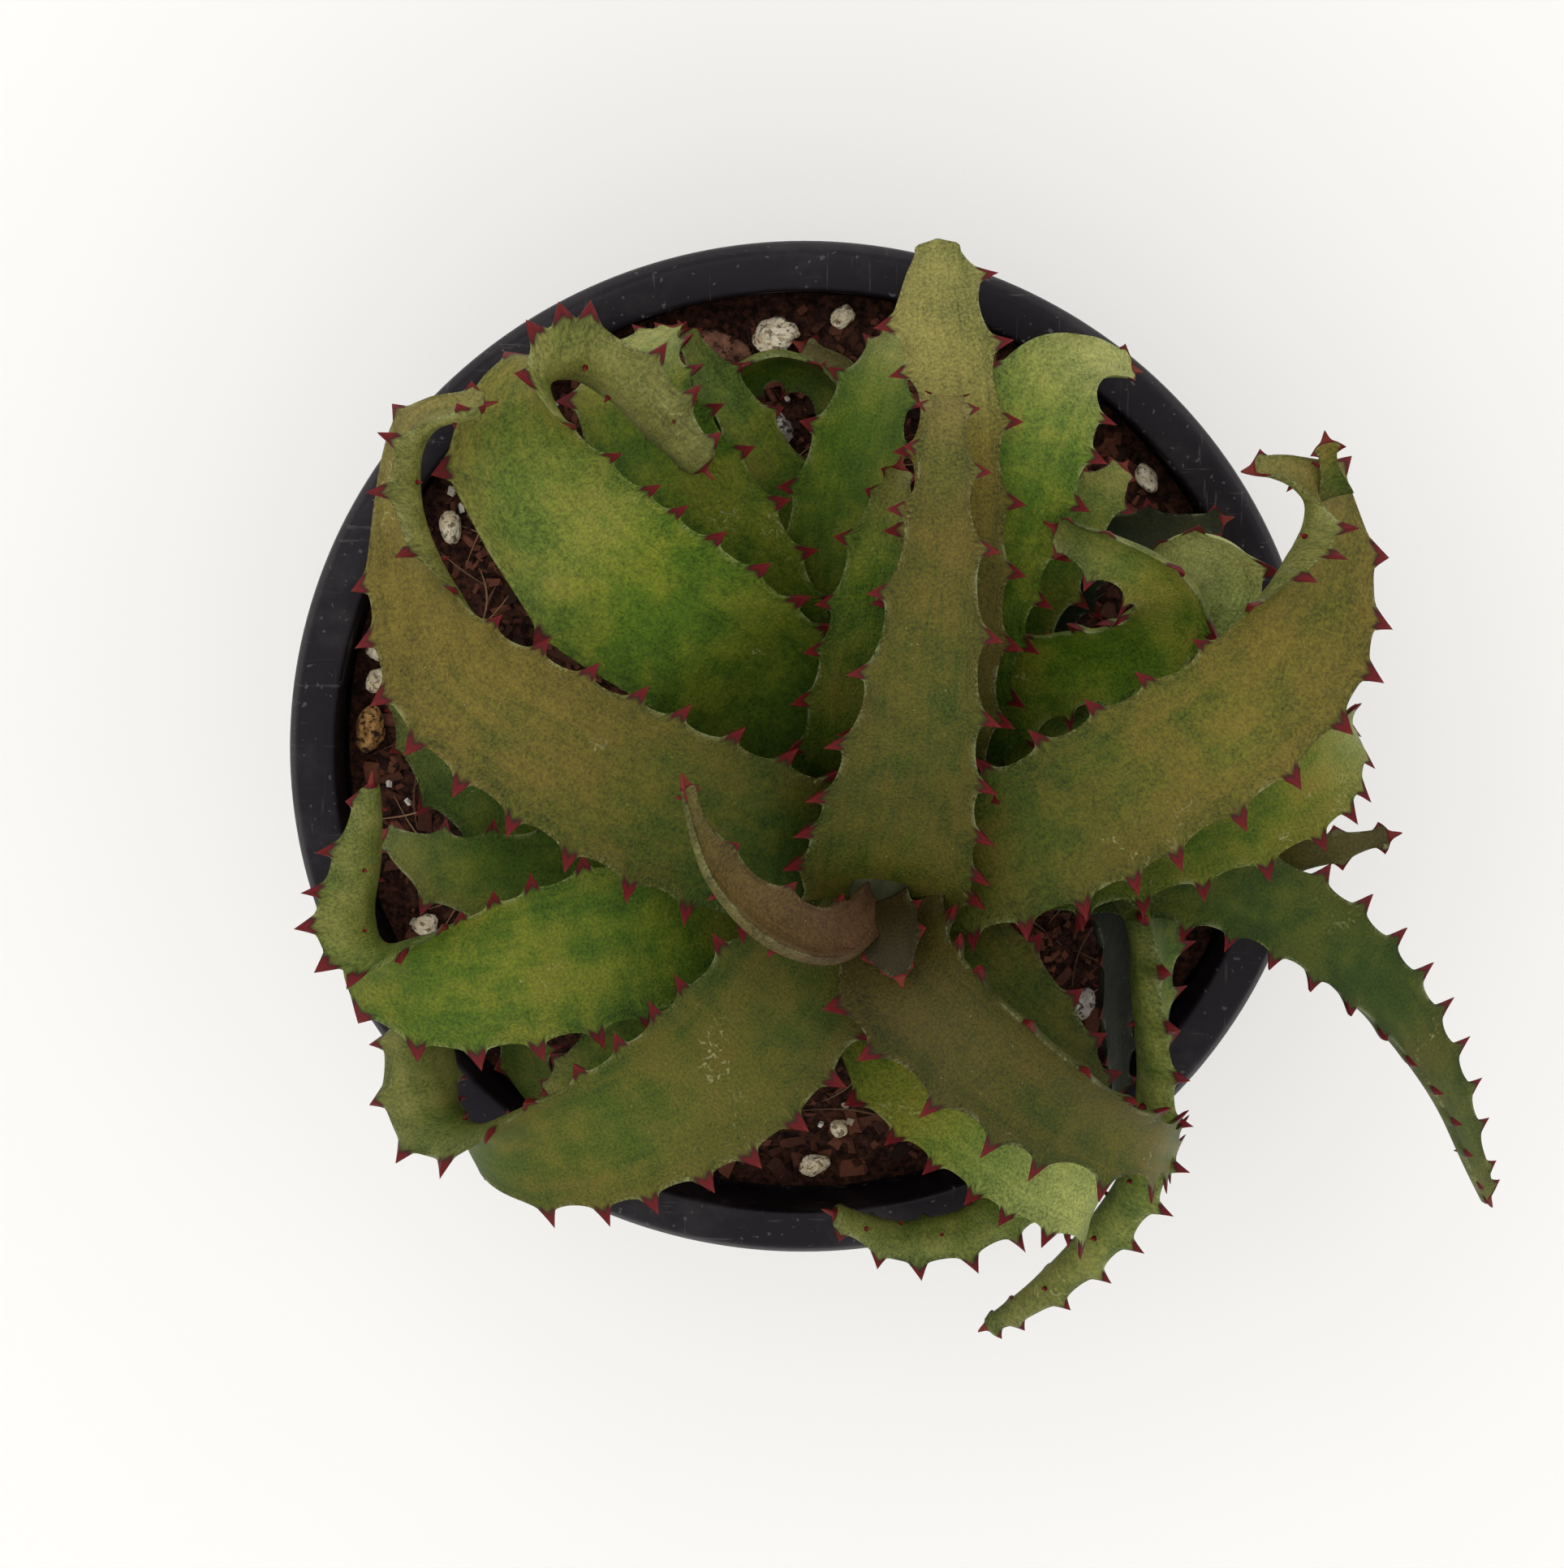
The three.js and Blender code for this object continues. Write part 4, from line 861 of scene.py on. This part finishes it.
def make_pot():
    """The pot's shell turned from its section, with the drain holes cut through its raised groove."""
    lean = (STEP_RADIUS - BASE_RADIUS) / STEP_HEIGHT
    under_rim = POT_HEIGHT - RIM_THICKNESS
    skirt = POT_HEIGHT - SKIRT_DROP
    inner_floor = BASE_RADIUS - WALL + lean * FLOOR_THICKNESS
    groove_floor = GROOVE_LIFT + FLOOR_THICKNESS
    profile = [
        (0, 0), (HUB_RADIUS, 0), (HUB_RADIUS + 1, GROOVE_LIFT), (GROOVE_RADIUS, GROOVE_LIFT),
        (GROOVE_RADIUS + 1, 0), (BASE_RADIUS - 0.6, 0), (BASE_RADIUS, 0.6), (STEP_RADIUS, STEP_HEIGHT),
        (RIM_INNER_RADIUS + WALL, STEP_HEIGHT + 1), (RIM_INNER_RADIUS + WALL, under_rim),
        (RIM_RADIUS - 1.2, under_rim), (RIM_RADIUS - 1.6, skirt), (RIM_RADIUS - 0.5, skirt),
        (RIM_RADIUS, POT_HEIGHT - 1.3), (RIM_RADIUS - 0.9, POT_HEIGHT), (RIM_INNER_RADIUS, POT_HEIGHT),
        (RIM_INNER_RADIUS, STEP_HEIGHT + 1.6), (STEP_RADIUS - WALL, STEP_HEIGHT + 0.4),
        (inner_floor, FLOOR_THICKNESS), (GROOVE_RADIUS + 0.4, FLOOR_THICKNESS),
        (GROOVE_RADIUS - 0.6, groove_floor), (HUB_RADIUS + 1.6, groove_floor),
        (HUB_RADIUS + 0.6, FLOOR_THICKNESS), (0, FLOOR_THICKNESS),
    ]
    shell = turned("pot_shell", rounded(profile, CORNER_RADIUS), POT_STEPS)
    drill_profile = np.array([(0, -2), (DRAIN_RADIUS, -2), (DRAIN_RADIUS, 6), (0, 6)], dtype=float)
    for i in range(DRAIN_HOLES):
        angle = (i + 0.5) / DRAIN_HOLES * 2 * math.pi
        drill = turned("drill", drill_profile, 32)
        x, y = (DRAIN_CIRCLE * METRES * turn(angle) for turn in (math.cos, math.sin))
        drill.data.transform(Matrix.Translation((x, y, 0)))
        cut = shell.modifiers.new("drain", "BOOLEAN")
        cut.operation, cut.solver, cut.object = "DIFFERENCE", "EXACT", drill
        apply_modifiers(shell)
        bpy.data.objects.remove(drill)
    return shell


def apply_modifiers(piece):
    """Replaces the piece's mesh by what its modifiers make of it."""
    bpy.context.view_layer.update()
    evaluated = piece.evaluated_get(bpy.context.evaluated_depsgraph_get())
    finished = bpy.data.meshes.new_from_object(evaluated)
    piece.modifiers.clear()
    piece.data = finished


# Potting mix

def soil_height(x, y):
    """The uneven surface: clods of three sizes on a low mound, sunk a little along the wall."""
    radius = np.hypot(x, y)
    mound = 0.9 * (1 - (radius / SOIL_RADIUS) ** 2)
    rough = 1.0 * lumps(x + 90, y + 90, 5.5, 1) + 0.8 * lumps(x + 90, y + 90, 2.3, 2)
    rough += 0.5 * lumps(x + 90, y + 90, 0.9, 3)
    return SOIL_HEIGHT - 1.1 + mound + rough - 0.8 * smoothstep(36, SOIL_RADIUS, radius)


def make_soil():
    """The mix as one body: a polar grid of the uneven surface, then the wall and the floor below."""
    offset = WALL + SEAT_GAP
    angle = np.linspace(0, 2 * np.pi, SOIL_STEPS, endpoint=False)
    radii = np.linspace(0.4, SOIL_RADIUS, SOIL_RINGS)[:, None]
    x, y = radii * np.cos(angle), radii * np.sin(angle)
    top = np.stack([x, y, soil_height(x, y)], -1)
    side = np.array([
        (RIM_INNER_RADIUS - SEAT_GAP, STEP_HEIGHT + 1.5), (STEP_RADIUS - offset, STEP_HEIGHT + 0.3),
        (BASE_RADIUS - offset, 1.7), (GROOVE_RADIUS + 0.8, 1.6), (GROOVE_RADIUS - 0.6, 3.1),
        (HUB_RADIUS + 1.6, 3.1), (HUB_RADIUS + 0.2, 1.6), (1, 1.6),
    ])
    rings = np.concatenate([top, circles(side[:, :1], side[:, 1:], angle)])
    points = np.vstack([rings.reshape(-1, 3), [(0, 0, soil_height(0.0, 0.0)), (0, 0, 1.6)]])
    return store("potting_mix", points, closed_faces(len(rings), SOIL_STEPS))


def scattered(count, chance, inner=4.5, outer=CHIP_SCATTER_RADIUS):
    """Random places on the mix, evenly spread between two radii."""
    radius = np.sqrt(chance.uniform(inner**2, outer**2, count))
    angle = chance.uniform(0, 2 * np.pi, count)
    return radius * np.cos(angle), radius * np.sin(angle)


def turns(count, chance, tilt):
    """Random rotations as arrays of three unit vectors: any heading, tilted by up to tilt radians."""
    heading = chance.uniform(0, 2 * np.pi, count)
    pitch, bank = chance.uniform(-tilt, tilt, (2, count))
    long = np.stack([np.cos(heading) * np.cos(pitch), np.sin(heading) * np.cos(pitch), np.sin(pitch)], -1)
    wide = np.stack([-np.sin(heading), np.cos(heading), np.tan(bank)], -1)
    wide -= (wide * long).sum(1)[:, None] * long
    wide /= np.linalg.norm(wide, axis=1)[:, None]
    return long, wide, np.cross(long, wide)


def make_chips(name, count, sizes, seed, tilt=0.6, lift=0.3):
    """Broken chips: boxes of eight jittered corners, each turned its own way."""
    chance = np.random.default_rng(seed)
    x, y = scattered(count, chance)
    scale = chance.uniform(*np.array(sizes).T[:, :, None], size=(3, count)) / 2
    square = ((-1, -1), (1, -1), (1, 1), (-1, 1))
    corners = np.array([(i, j, k) for k in (-1, 1) for i, j in square], dtype=float)
    shape = corners * chance.uniform(0.55, 1.1, (count, 8, 3)) * scale.T[:, None]
    long, wide, up = turns(count, chance, tilt)
    middle = np.stack([x, y, soil_height(x, y) + lift * scale[2] * 2], -1)
    points = middle[:, None] + sum(
        shape[..., k : k + 1] * axis[:, None] for k, axis in enumerate((long, wide, up)))
    box = np.array([
        (0, 3, 2, 1), (4, 5, 6, 7), (0, 1, 5, 4), (1, 2, 6, 5), (2, 3, 7, 6), (3, 0, 4, 7)])
    faces = (box + 8 * np.arange(count)[:, None, None]).reshape(-1, 4)
    shade = np.repeat(chance.random(count), 8)
    piece = store(name, points.reshape(-1, 3), [faces], {"shade": shade})
    piece.data.polygons.foreach_set("use_smooth", np.zeros(len(piece.data.polygons), dtype=bool))
    return piece


def make_fibres(count, seed):
    """Coir fibres: thin tubes of four sides along low arcs that bend to one side as they rise."""
    chance = np.random.default_rng(seed)
    x, y = scattered(count, chance, outer=FIBRE_SCATTER_RADIUS)
    long, wide, _ = turns(count, chance, 0.12)
    length = chance.uniform(3, 13, count)[:, None]
    bend = chance.uniform(-0.35, 0.35, count)[:, None]
    share = np.linspace(-0.5, 0.5, FIBRE_POINTS)
    path = (long[:, None] * (length * share)[..., None]
            + wide[:, None] * (bend * length * (0.25 - share**2) * 2)[..., None])
    path += np.stack([x, y, np.zeros(count)], -1)[:, None]
    arch = chance.uniform(0.1, 1.1, count)[:, None] * (1 - 4 * share**2)
    ground = soil_height(path[..., 0], path[..., 1])
    path[..., 2] = ground * 0.35 + (SOIL_HEIGHT + 0.5) * 0.65 + arch
    radius = chance.uniform(0.05, 0.11, count)[:, None] * (1 - 0.6 * np.abs(2 * share))
    radius = radius[..., None]
    side = np.cross(np.gradient(path, axis=1), (0, 0, 1))
    side /= np.linalg.norm(side, axis=-1, keepdims=True)
    up = np.array([0, 0, 1.0])
    ring = np.stack(
        [path + radius * side, path + radius * up, path - radius * side, path - radius * up], 2)
    last = 4 * (FIBRE_POINTS - 1)
    ends = [(0, 1, 2, 3), (last + 3, last + 2, last + 1, last)]
    one = np.vstack([ring_faces(FIBRE_POINTS, 4), ends])
    faces = (one + 4 * FIBRE_POINTS * np.arange(count)[:, None, None]).reshape(-1, 4)
    shade = np.repeat(chance.random(count), 4 * FIBRE_POINTS)
    return store("coir_fibres", ring.reshape(-1, 3), [faces], {"shade": shade})


# Stones and stem

def make_stone(node, halves, turn, crumble, seed):
    """A broken grain: a ball swollen and pitted by uneven waves, flattened where it rests."""
    polar = np.linspace(0, np.pi, STONE_RINGS + 2)[1:-1, None]
    angle = np.linspace(0, 2 * np.pi, STONE_STEPS, endpoint=False)
    ball = circles(np.sin(polar), np.cos(polar), angle)
    ball = np.vstack([ball.reshape(-1, 3), [(0, 0, 1), (0, 0, -1)]])
    swell = 0.92 + crumble * waves(ball, (2.2, 1.1), seed)
    swell -= crumble * 0.6 * np.abs(waves(ball, (0.7, 0.4), seed + 9))
    shape = ball * swell[:, None] * halves
    shape[:, 2] = np.maximum(shape[:, 2], -STONE_REST * halves[2])
    spin = math.radians(turn)
    x = shape[:, 0] * math.cos(spin) - shape[:, 1] * math.sin(spin)
    y = shape[:, 0] * math.sin(spin) + shape[:, 1] * math.cos(spin)
    low, high = (np.array(corner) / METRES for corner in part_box(node))
    centre = (low + high) / 2
    z = shape[:, 2] + low[2] + STONE_REST * halves[2]
    points = np.stack([x + centre[0], y + centre[1], z], -1)
    return store(node + "_grain", points, closed_faces(STONE_RINGS, STONE_STEPS))


def make_stem():
    """The short stem: a leaning taper ringed by the scars of shed leaves."""
    foot, top = np.array(STEM_FOOT), np.array(STEM_TOP)
    share = np.linspace(0, 1, STEM_RINGS)[:, None]
    angle = np.linspace(0, 2 * np.pi, STEM_STEPS, endpoint=False)
    scars = STEM_SCAR_DEPTH * np.abs(np.sin(share * 45 + 0.8 * np.sin(angle * 2) + angle))
    radius = STEM_RADII[0] + (STEM_RADII[1] - STEM_RADII[0]) * share + scars
    middle = foot + (top - foot) * share
    points = middle[:, None] + circles(radius, 0, angle)
    points = np.vstack([points.reshape(-1, 3), [foot, top]])
    return store("aloe_stem", points, closed_faces(STEM_RINGS, STEM_STEPS, flipped=True))


# Finishes

class Value:
    """A shader socket with arithmetic: an expression on values adds its Math nodes."""

    def __init__(self, finish, socket):
        self.finish = finish
        self.socket = socket

    def math(self, operation, *terms):
        return self.finish.add("ShaderNodeMath", {"operation": operation}, dict(enumerate(terms)))

    def __add__(self, other):
        return self.math("ADD", self, other)

    def __sub__(self, other):
        return self.math("SUBTRACT", self, other)

    def __rsub__(self, other):
        return self.math("SUBTRACT", other, self)

    def __mul__(self, other):
        return self.math("MULTIPLY", self, other)

    def __abs__(self):
        return self.math("ABSOLUTE", self)

    __radd__ = __add__
    __rmul__ = __mul__


class Finish:
    """One material. add() makes any node and gives back one of its outputs as a Value."""

    def __init__(self, name):
        self.material = bpy.data.materials.new(name)
        self.material.use_nodes = True
        self.tree = self.material.node_tree
        self.tree.nodes.clear()

    def add(self, kind, settings=None, sockets=None, output=0):
        """A node with its settings made first, then its sockets set or linked."""
        node = self.tree.nodes.new(kind)
        for setting, value in (settings or {}).items():
            setattr(node, setting, value)
        for socket, value in (sockets or {}).items():
            if isinstance(value, Value):
                self.tree.links.new(value.socket, node.inputs[socket])
            else:
                node.inputs[socket].default_value = value
        return Value(self, node.outputs[output])

    def attribute(self, name, output="Fac"):
        return self.add("ShaderNodeAttribute", {"attribute_name": name}, output=output)

    def object_place(self):
        """Object coordinates in millimetres."""
        place = self.add("ShaderNodeTexCoord", output="Object")
        return self.stretched(place, (1 / METRES,) * 3)

    def stretched(self, place, factors):
        return self.add("ShaderNodeVectorMath", {"operation": "MULTIPLY"}, {0: place, 1: factors})

    def noise(self, place, scale, detail=2.0, roughness=0.5):
        """Noise around 0.5; scale is how many features a millimetre holds."""
        return self.add("ShaderNodeTexNoise", {}, {
            "Vector": place, "Scale": scale, "Detail": detail, "Roughness": roughness})

    def step(self, value, low, high):
        """A smooth rise from 0 at low to 1 at high."""
        return self.add("ShaderNodeMapRange", {"interpolation_type": "SMOOTHSTEP"}, {
            "Value": value, "From Min": low, "From Max": high})

    def mix(self, share, low, high):
        """One colour into another; plain colours are linear red, green and blue."""
        low, high = (c if isinstance(c, Value) else (*c, 1.0) for c in (low, high))
        settings = {"data_type": "RGBA", "clamp_factor": True}
        return self.add("ShaderNodeMix", settings, {0: share, 6: low, 7: high}, 2)

    def scaled(self, colour, factor):
        """A colour made lighter or darker by a number."""
        return self.add("ShaderNodeVectorMath", {"operation": "SCALE"}, {0: colour, "Scale": factor})

    def bump(self, height, millimetres):
        return self.add("ShaderNodeBump", {}, {
            "Height": height, "Distance": millimetres * METRES, "Strength": 1.0})

    def surface(self, colour, roughness, normal=None, **fixed):
        """The material: one shader of the given colour, roughness and fixed inputs."""
        sockets = {"Base Color": colour, "Roughness": roughness}
        if normal is not None:
            sockets["Normal"] = normal
        sockets.update({name.replace("_", " "): value for name, value in fixed.items()})
        shader = self.add("ShaderNodeBsdfPrincipled", {}, sockets)
        output = self.tree.nodes.new("ShaderNodeOutputMaterial")
        self.tree.links.new(shader.socket, output.inputs["Surface"])
        return self.material


def leaf_skin():
    """Green under bronze, finely grained: red teeth, a pale thin edge, white specks and scars, under
    painted light and shade.
    """
    skin = Finish("aloe_leaf_skin")
    place = skin.attribute("skin_place", "Vector")
    tooth, margin, under, bronze, painted_light, tipward, middle = (
        skin.attribute(name)
        for name in ("tooth", "margin", "under", "bronze", "painted_light", "tipward", "middle"))
    grain = skin.noise(place, 4.2, 2, 0.7) - 0.5
    mottle = skin.noise(place, 0.34, 3, 0.6) - 0.5
    streak = skin.noise(skin.stretched(place, (0.95, 0.07, 1.0)), 1.0, 3, 0.65) - 0.5
    clouds = skin.noise(place, 0.10, 2) - 0.5

    bronzed = skin.step(bronze + clouds * 0.8 + mottle * 0.6 + streak * 0.7, 0.05, 0.95)
    patches = skin.step(mottle + clouds, -0.15, 0.2)
    green = skin.mix(patches, (0.062, 0.122, 0.005), (0.122, 0.162, 0.009))
    body = skin.mix(bronzed, green, (0.113, 0.087, 0.012))
    reddish = skin.step(bronze, 0.95, 1.5)
    body = skin.mix(reddish, body, (0.125, 0.062, 0.028))
    # Paler grey-olive towards the tip: partly the tips' own colour, partly a painted sheen.
    body = skin.mix(skin.step(tipward, 0.7, 1.0) * 0.35, body, (0.16, 0.145, 0.055))
    # Paler yellow-green where the painted light is above 1.1: a painted highlight.
    body = skin.mix(skin.step(painted_light, 1.1, 2.0) * 0.75, body, (0.155, 0.168, 0.055))
    # Tone from grain, streaks, mottle and clouds, plus painted shade: lighter along the middle, darker
    # towards the margins.
    shade = grain * 2.1 + streak * 0.9 + mottle * 0.9 + clouds * 0.5 + middle * 0.22 + 0.82
    pale_patches = skin.step(mottle, -0.2, 0.2)
    # The paler grey-green underside: partly its own colour, partly a painted sheen.
    underside_and_painted_sheen = skin.mix(pale_patches, (0.100, 0.125, 0.024), (0.155, 0.165, 0.045))
    body = skin.mix(under * (0.55 - reddish * 0.45), body, underside_and_painted_sheen)
    # Darkened and lightened by the painted light and shade, and by the tone.
    body = skin.scaled(body, painted_light * shade)

    dust = skin.noise(place, 2.6, 1)
    specks = skin.step(dust, 0.78, 0.81)
    scar_line = skin.step(abs(skin.noise(place, 0.16, 4, 0.65) - 0.5), 0.012, 0.004)
    scars = scar_line * skin.step(clouds, 0.13, 0.20) * skin.step(dust, 0.42, 0.6)
    body = skin.mix(specks * 0.35 + scars * 0.4, body, (0.44, 0.42, 0.22))
    edge = margin * skin.step(mottle + grain * 0.6, -0.05, 0.2)
    body = skin.mix(edge * (0.55 - reddish * 0.5), body, (0.30, 0.34, 0.17))
    ripe = skin.step(tooth + grain * 0.5, 0.15, 0.6)
    red = skin.mix(ripe, (0.030, 0.008, 0.005), (0.115, 0.005, 0.007))
    red = skin.mix(skin.step(tooth, 0.85, 1.0) * 0.4, red, (0.18, 0.040, 0.018))
    body = skin.mix(skin.step(tooth, 0.06, 0.3), body, red)

    relief = grain * 0.6 + mottle * 1.2 + streak * 0.5
    return skin.surface(body, 0.58 + grain * 0.3, skin.bump(relief, 0.12), Specular_IOR_Level=0.18)


def pot_plastic():
    """Thin black plastic, a little purple, with dust in its scratches and pale scuffs on the rim."""
    plastic = Finish("nursery_pot_plastic")
    place = plastic.object_place()
    film = plastic.noise(place, 0.12, 4, 0.65)
    scratch_a = plastic.noise(plastic.stretched(place, (1.6, 0.10, 0.2)), 1.0, 3, 0.7)
    scratch_b = plastic.noise(plastic.stretched(place, (0.12, 1.7, 0.2)), 1.0, 3, 0.7)
    scratches = plastic.step(scratch_a, 0.64, 0.70) + plastic.step(scratch_b, 0.64, 0.70)
    specks = plastic.step(plastic.noise(place, 1.7, 1), 0.70, 0.75)
    dust = plastic.step(film, 0.5, 0.75) * 0.14 + scratches * 0.25 + specks * 0.5
    colour = plastic.mix(dust, (0.0062, 0.0042, 0.0068), (0.12, 0.11, 0.115))
    ripple = plastic.noise(place, 0.8, 2)
    return plastic.surface(colour, 0.42 + dust * 0.4, plastic.bump(ripple, 0.03), Specular_IOR_Level=0.17)


def mix_ground():
    """The fine dark part of the potting mix."""
    ground = Finish("coir_ground")
    place = ground.object_place()
    grit = ground.noise(place, 1.3, 4, 0.7)
    colour = ground.mix(ground.step(grit, 0.35, 0.7), (0.010, 0.005, 0.004), (0.085, 0.030, 0.018))
    return ground.surface(colour, 0.95, ground.bump(grit, 0.5), Specular_IOR_Level=0.15)


def shaded_matter(name, dark, fair, roughness=0.9):
    """Loose matter whose pieces each have a shade of their own between two colours."""
    matter = Finish(name)
    shade = matter.attribute("shade")
    grit = matter.noise(matter.object_place(), 2.2, 3, 0.7)
    colour = matter.mix(matter.step(shade * 0.75 + grit * 0.35, 0.15, 0.95), dark, fair)
    return matter.surface(colour, roughness, matter.bump(grit, 0.2), Specular_IOR_Level=0.2)


def grain_stone(name, dark, fair, pit_painted_shade):
    """Porous stone: two colours in blotches, with pits of about half a millimetre darkened by painted
    shade.
    """
    stone = Finish(name)
    place = stone.object_place()
    blotch = stone.noise(place, 0.7, 4, 0.7)
    pits = stone.step(stone.noise(place, 1.6, 3, 0.65), 0.36, 0.47)
    colour = stone.mix(stone.step(blotch, 0.35, 0.68), dark, fair)
    # Painted shade in the pits.
    colour = stone.mix(1 - pits, colour, pit_painted_shade)
    return stone.surface(colour, 0.9, stone.bump(pits * 0.6 + blotch, 0.35), Specular_IOR_Level=0.25)


def stem_bark():
    """Dark skin in rings, as shed leaves leave it."""
    bark = Finish("aloe_stem_skin")
    place = bark.object_place()
    rings = bark.noise(bark.stretched(place, (0.3, 0.3, 2.2)), 1.0, 3, 0.6)
    colour = bark.mix(bark.step(rings, 0.35, 0.7), (0.020, 0.024, 0.008), (0.055, 0.048, 0.022))
    return bark.surface(colour, 0.85, bark.bump(rings, 0.3), Specular_IOR_Level=0.2)


def pale_floor():
    """Plain off-white paper."""
    paper = Finish("pale_floor")
    place = paper.object_place()
    tone = paper.noise(place, 0.012, 2)
    colour = paper.mix(tone, (0.935, 0.925, 0.905), (0.96, 0.955, 0.94))
    return paper.surface(colour, 0.85, Specular_IOR_Level=0.1)


# Assembly

def dress(piece, material, slot, *nodes):
    """Gives a piece its finish, ties it to the plant's body and hides the solids it stands for."""
    piece.data.materials.clear()
    piece.data.materials.append(material)
    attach(piece, "root")
    if nodes:
        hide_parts(*nodes)


def light_panel():
    """A soft square light above the plant."""
    lamp = bpy.data.lights.new("panel_above", "AREA")
    lamp.size = PANEL_SIZE * METRES
    lamp.energy = PANEL_POWER
    panel = bpy.data.objects.new("panel_above", lamp)
    panel.location = Vector(PANEL_PLACE) * METRES
    facing = Vector(PANEL_PLACE) - Vector(PANEL_AIM)
    panel.rotation_euler = facing.to_track_quat("Z", "Y").to_euler()
    bpy.context.collection.objects.link(panel)


def studio():
    """A pale floor, soft light from all round, a panel above, and the photograph's camera."""
    half = FLOOR_HALF_WIDTH * METRES
    corners = [(-half, -half, 0), (half, -half, 0), (half, half, 0), (-half, half, 0)]
    mesh = bpy.data.meshes.new("floor")
    mesh.from_pydata(corners, [], [(0, 1, 2, 3)])
    mesh.materials.append(pale_floor())
    floor = bpy.data.objects.new("floor", mesh)
    bpy.context.collection.objects.link(floor)

    world = bpy.data.worlds.new("studio")
    world.use_nodes = True
    background = world.node_tree.nodes["Background"]
    background.inputs["Color"].default_value = SKY_COLOUR
    background.inputs["Strength"].default_value = SKY_STRENGTH
    scene = bpy.context.scene
    scene.world = world
    scene.view_settings.view_transform = "Standard"
    light_panel()

    tilt = math.radians(CAMERA_TILT)
    back = Vector((0, math.sin(tilt), math.cos(tilt)))
    up = Vector((0, 1, 0))
    up = (up - up.dot(back) * back).normalized()
    right = up.cross(back)
    lens = bpy.data.cameras.new("camera")
    lens.lens = CAMERA_LENS
    camera = bpy.data.objects.new("camera", lens)
    turn = Matrix((right, up, back)).transposed().to_4x4()
    place = (Vector(CAMERA_TARGET) + CAMERA_DISTANCE * back) * METRES
    camera.matrix_world = Matrix.Translation(place) @ turn
    bpy.context.collection.objects.link(camera)
    scene.camera = camera


# The record's material slot of each node
SLOTS = {node["node"]: node["material_slot"] for node in frame["record"]["subparts"]}

studio()

dress(make_pot(), pot_plastic(), "pot_plastic", "pot")

dress(make_soil(), mix_ground(), "potting_mix", "soil")
chip_bark = shaded_matter("coir_chips", (0.020, 0.009, 0.006), (0.155, 0.052, 0.030))
large_chips = make_chips("coir_chips_large", LARGE_CHIPS, LARGE_CHIP_SIZES, 11)
dress(large_chips, chip_bark, "potting_mix")
small_chips = make_chips("coir_chips_small", SMALL_CHIPS, SMALL_CHIP_SIZES, 12, tilt=0.9)
dress(small_chips, chip_bark, "potting_mix")
fibre_straw = shaded_matter("coir_fibre", (0.060, 0.025, 0.014), (0.34, 0.20, 0.11))
dress(make_fibres(FIBRES, 13), fibre_straw, "potting_mix")
white_grit = shaded_matter("white_grit", (0.45, 0.38, 0.28), (0.80, 0.76, 0.66))
grit = make_chips("grit_bits", GRIT_BITS, GRIT_SIZES, 14, tilt=1.0, lift=0.6)
dress(grit, white_grit, "pale_stone")

grains = {
    "perlite": grain_stone("perlite", (0.62, 0.50, 0.32), (0.86, 0.78, 0.60), (0.30, 0.20, 0.11)),
    "pumice": grain_stone("pumice", (0.30, 0.25, 0.22), (0.62, 0.56, 0.52), (0.07, 0.05, 0.04)),
    "lava": grain_stone("red_lava", (0.10, 0.042, 0.026), (0.26, 0.115, 0.07), (0.03, 0.012, 0.01)),
    "ochre": grain_stone("ochre_lava", (0.14, 0.06, 0.02), (0.46, 0.25, 0.08), (0.03, 0.015, 0.01)),
}
for seed, (node, halves, turn, crumble, kind) in enumerate(STONES):
    dress(make_stone(node, halves, turn, crumble, 40 + seed), grains[kind], SLOTS[node], node)

dress(make_stem(), stem_bark(), "stem_skin", "stem")
skin = leaf_skin()
for seed, leaf in enumerate(LEAVES):
    leaf["seed"] = seed
    node = "leaf_" + leaf["name"]
    dress(make_leaf(leaf), skin, SLOTS[node], node)
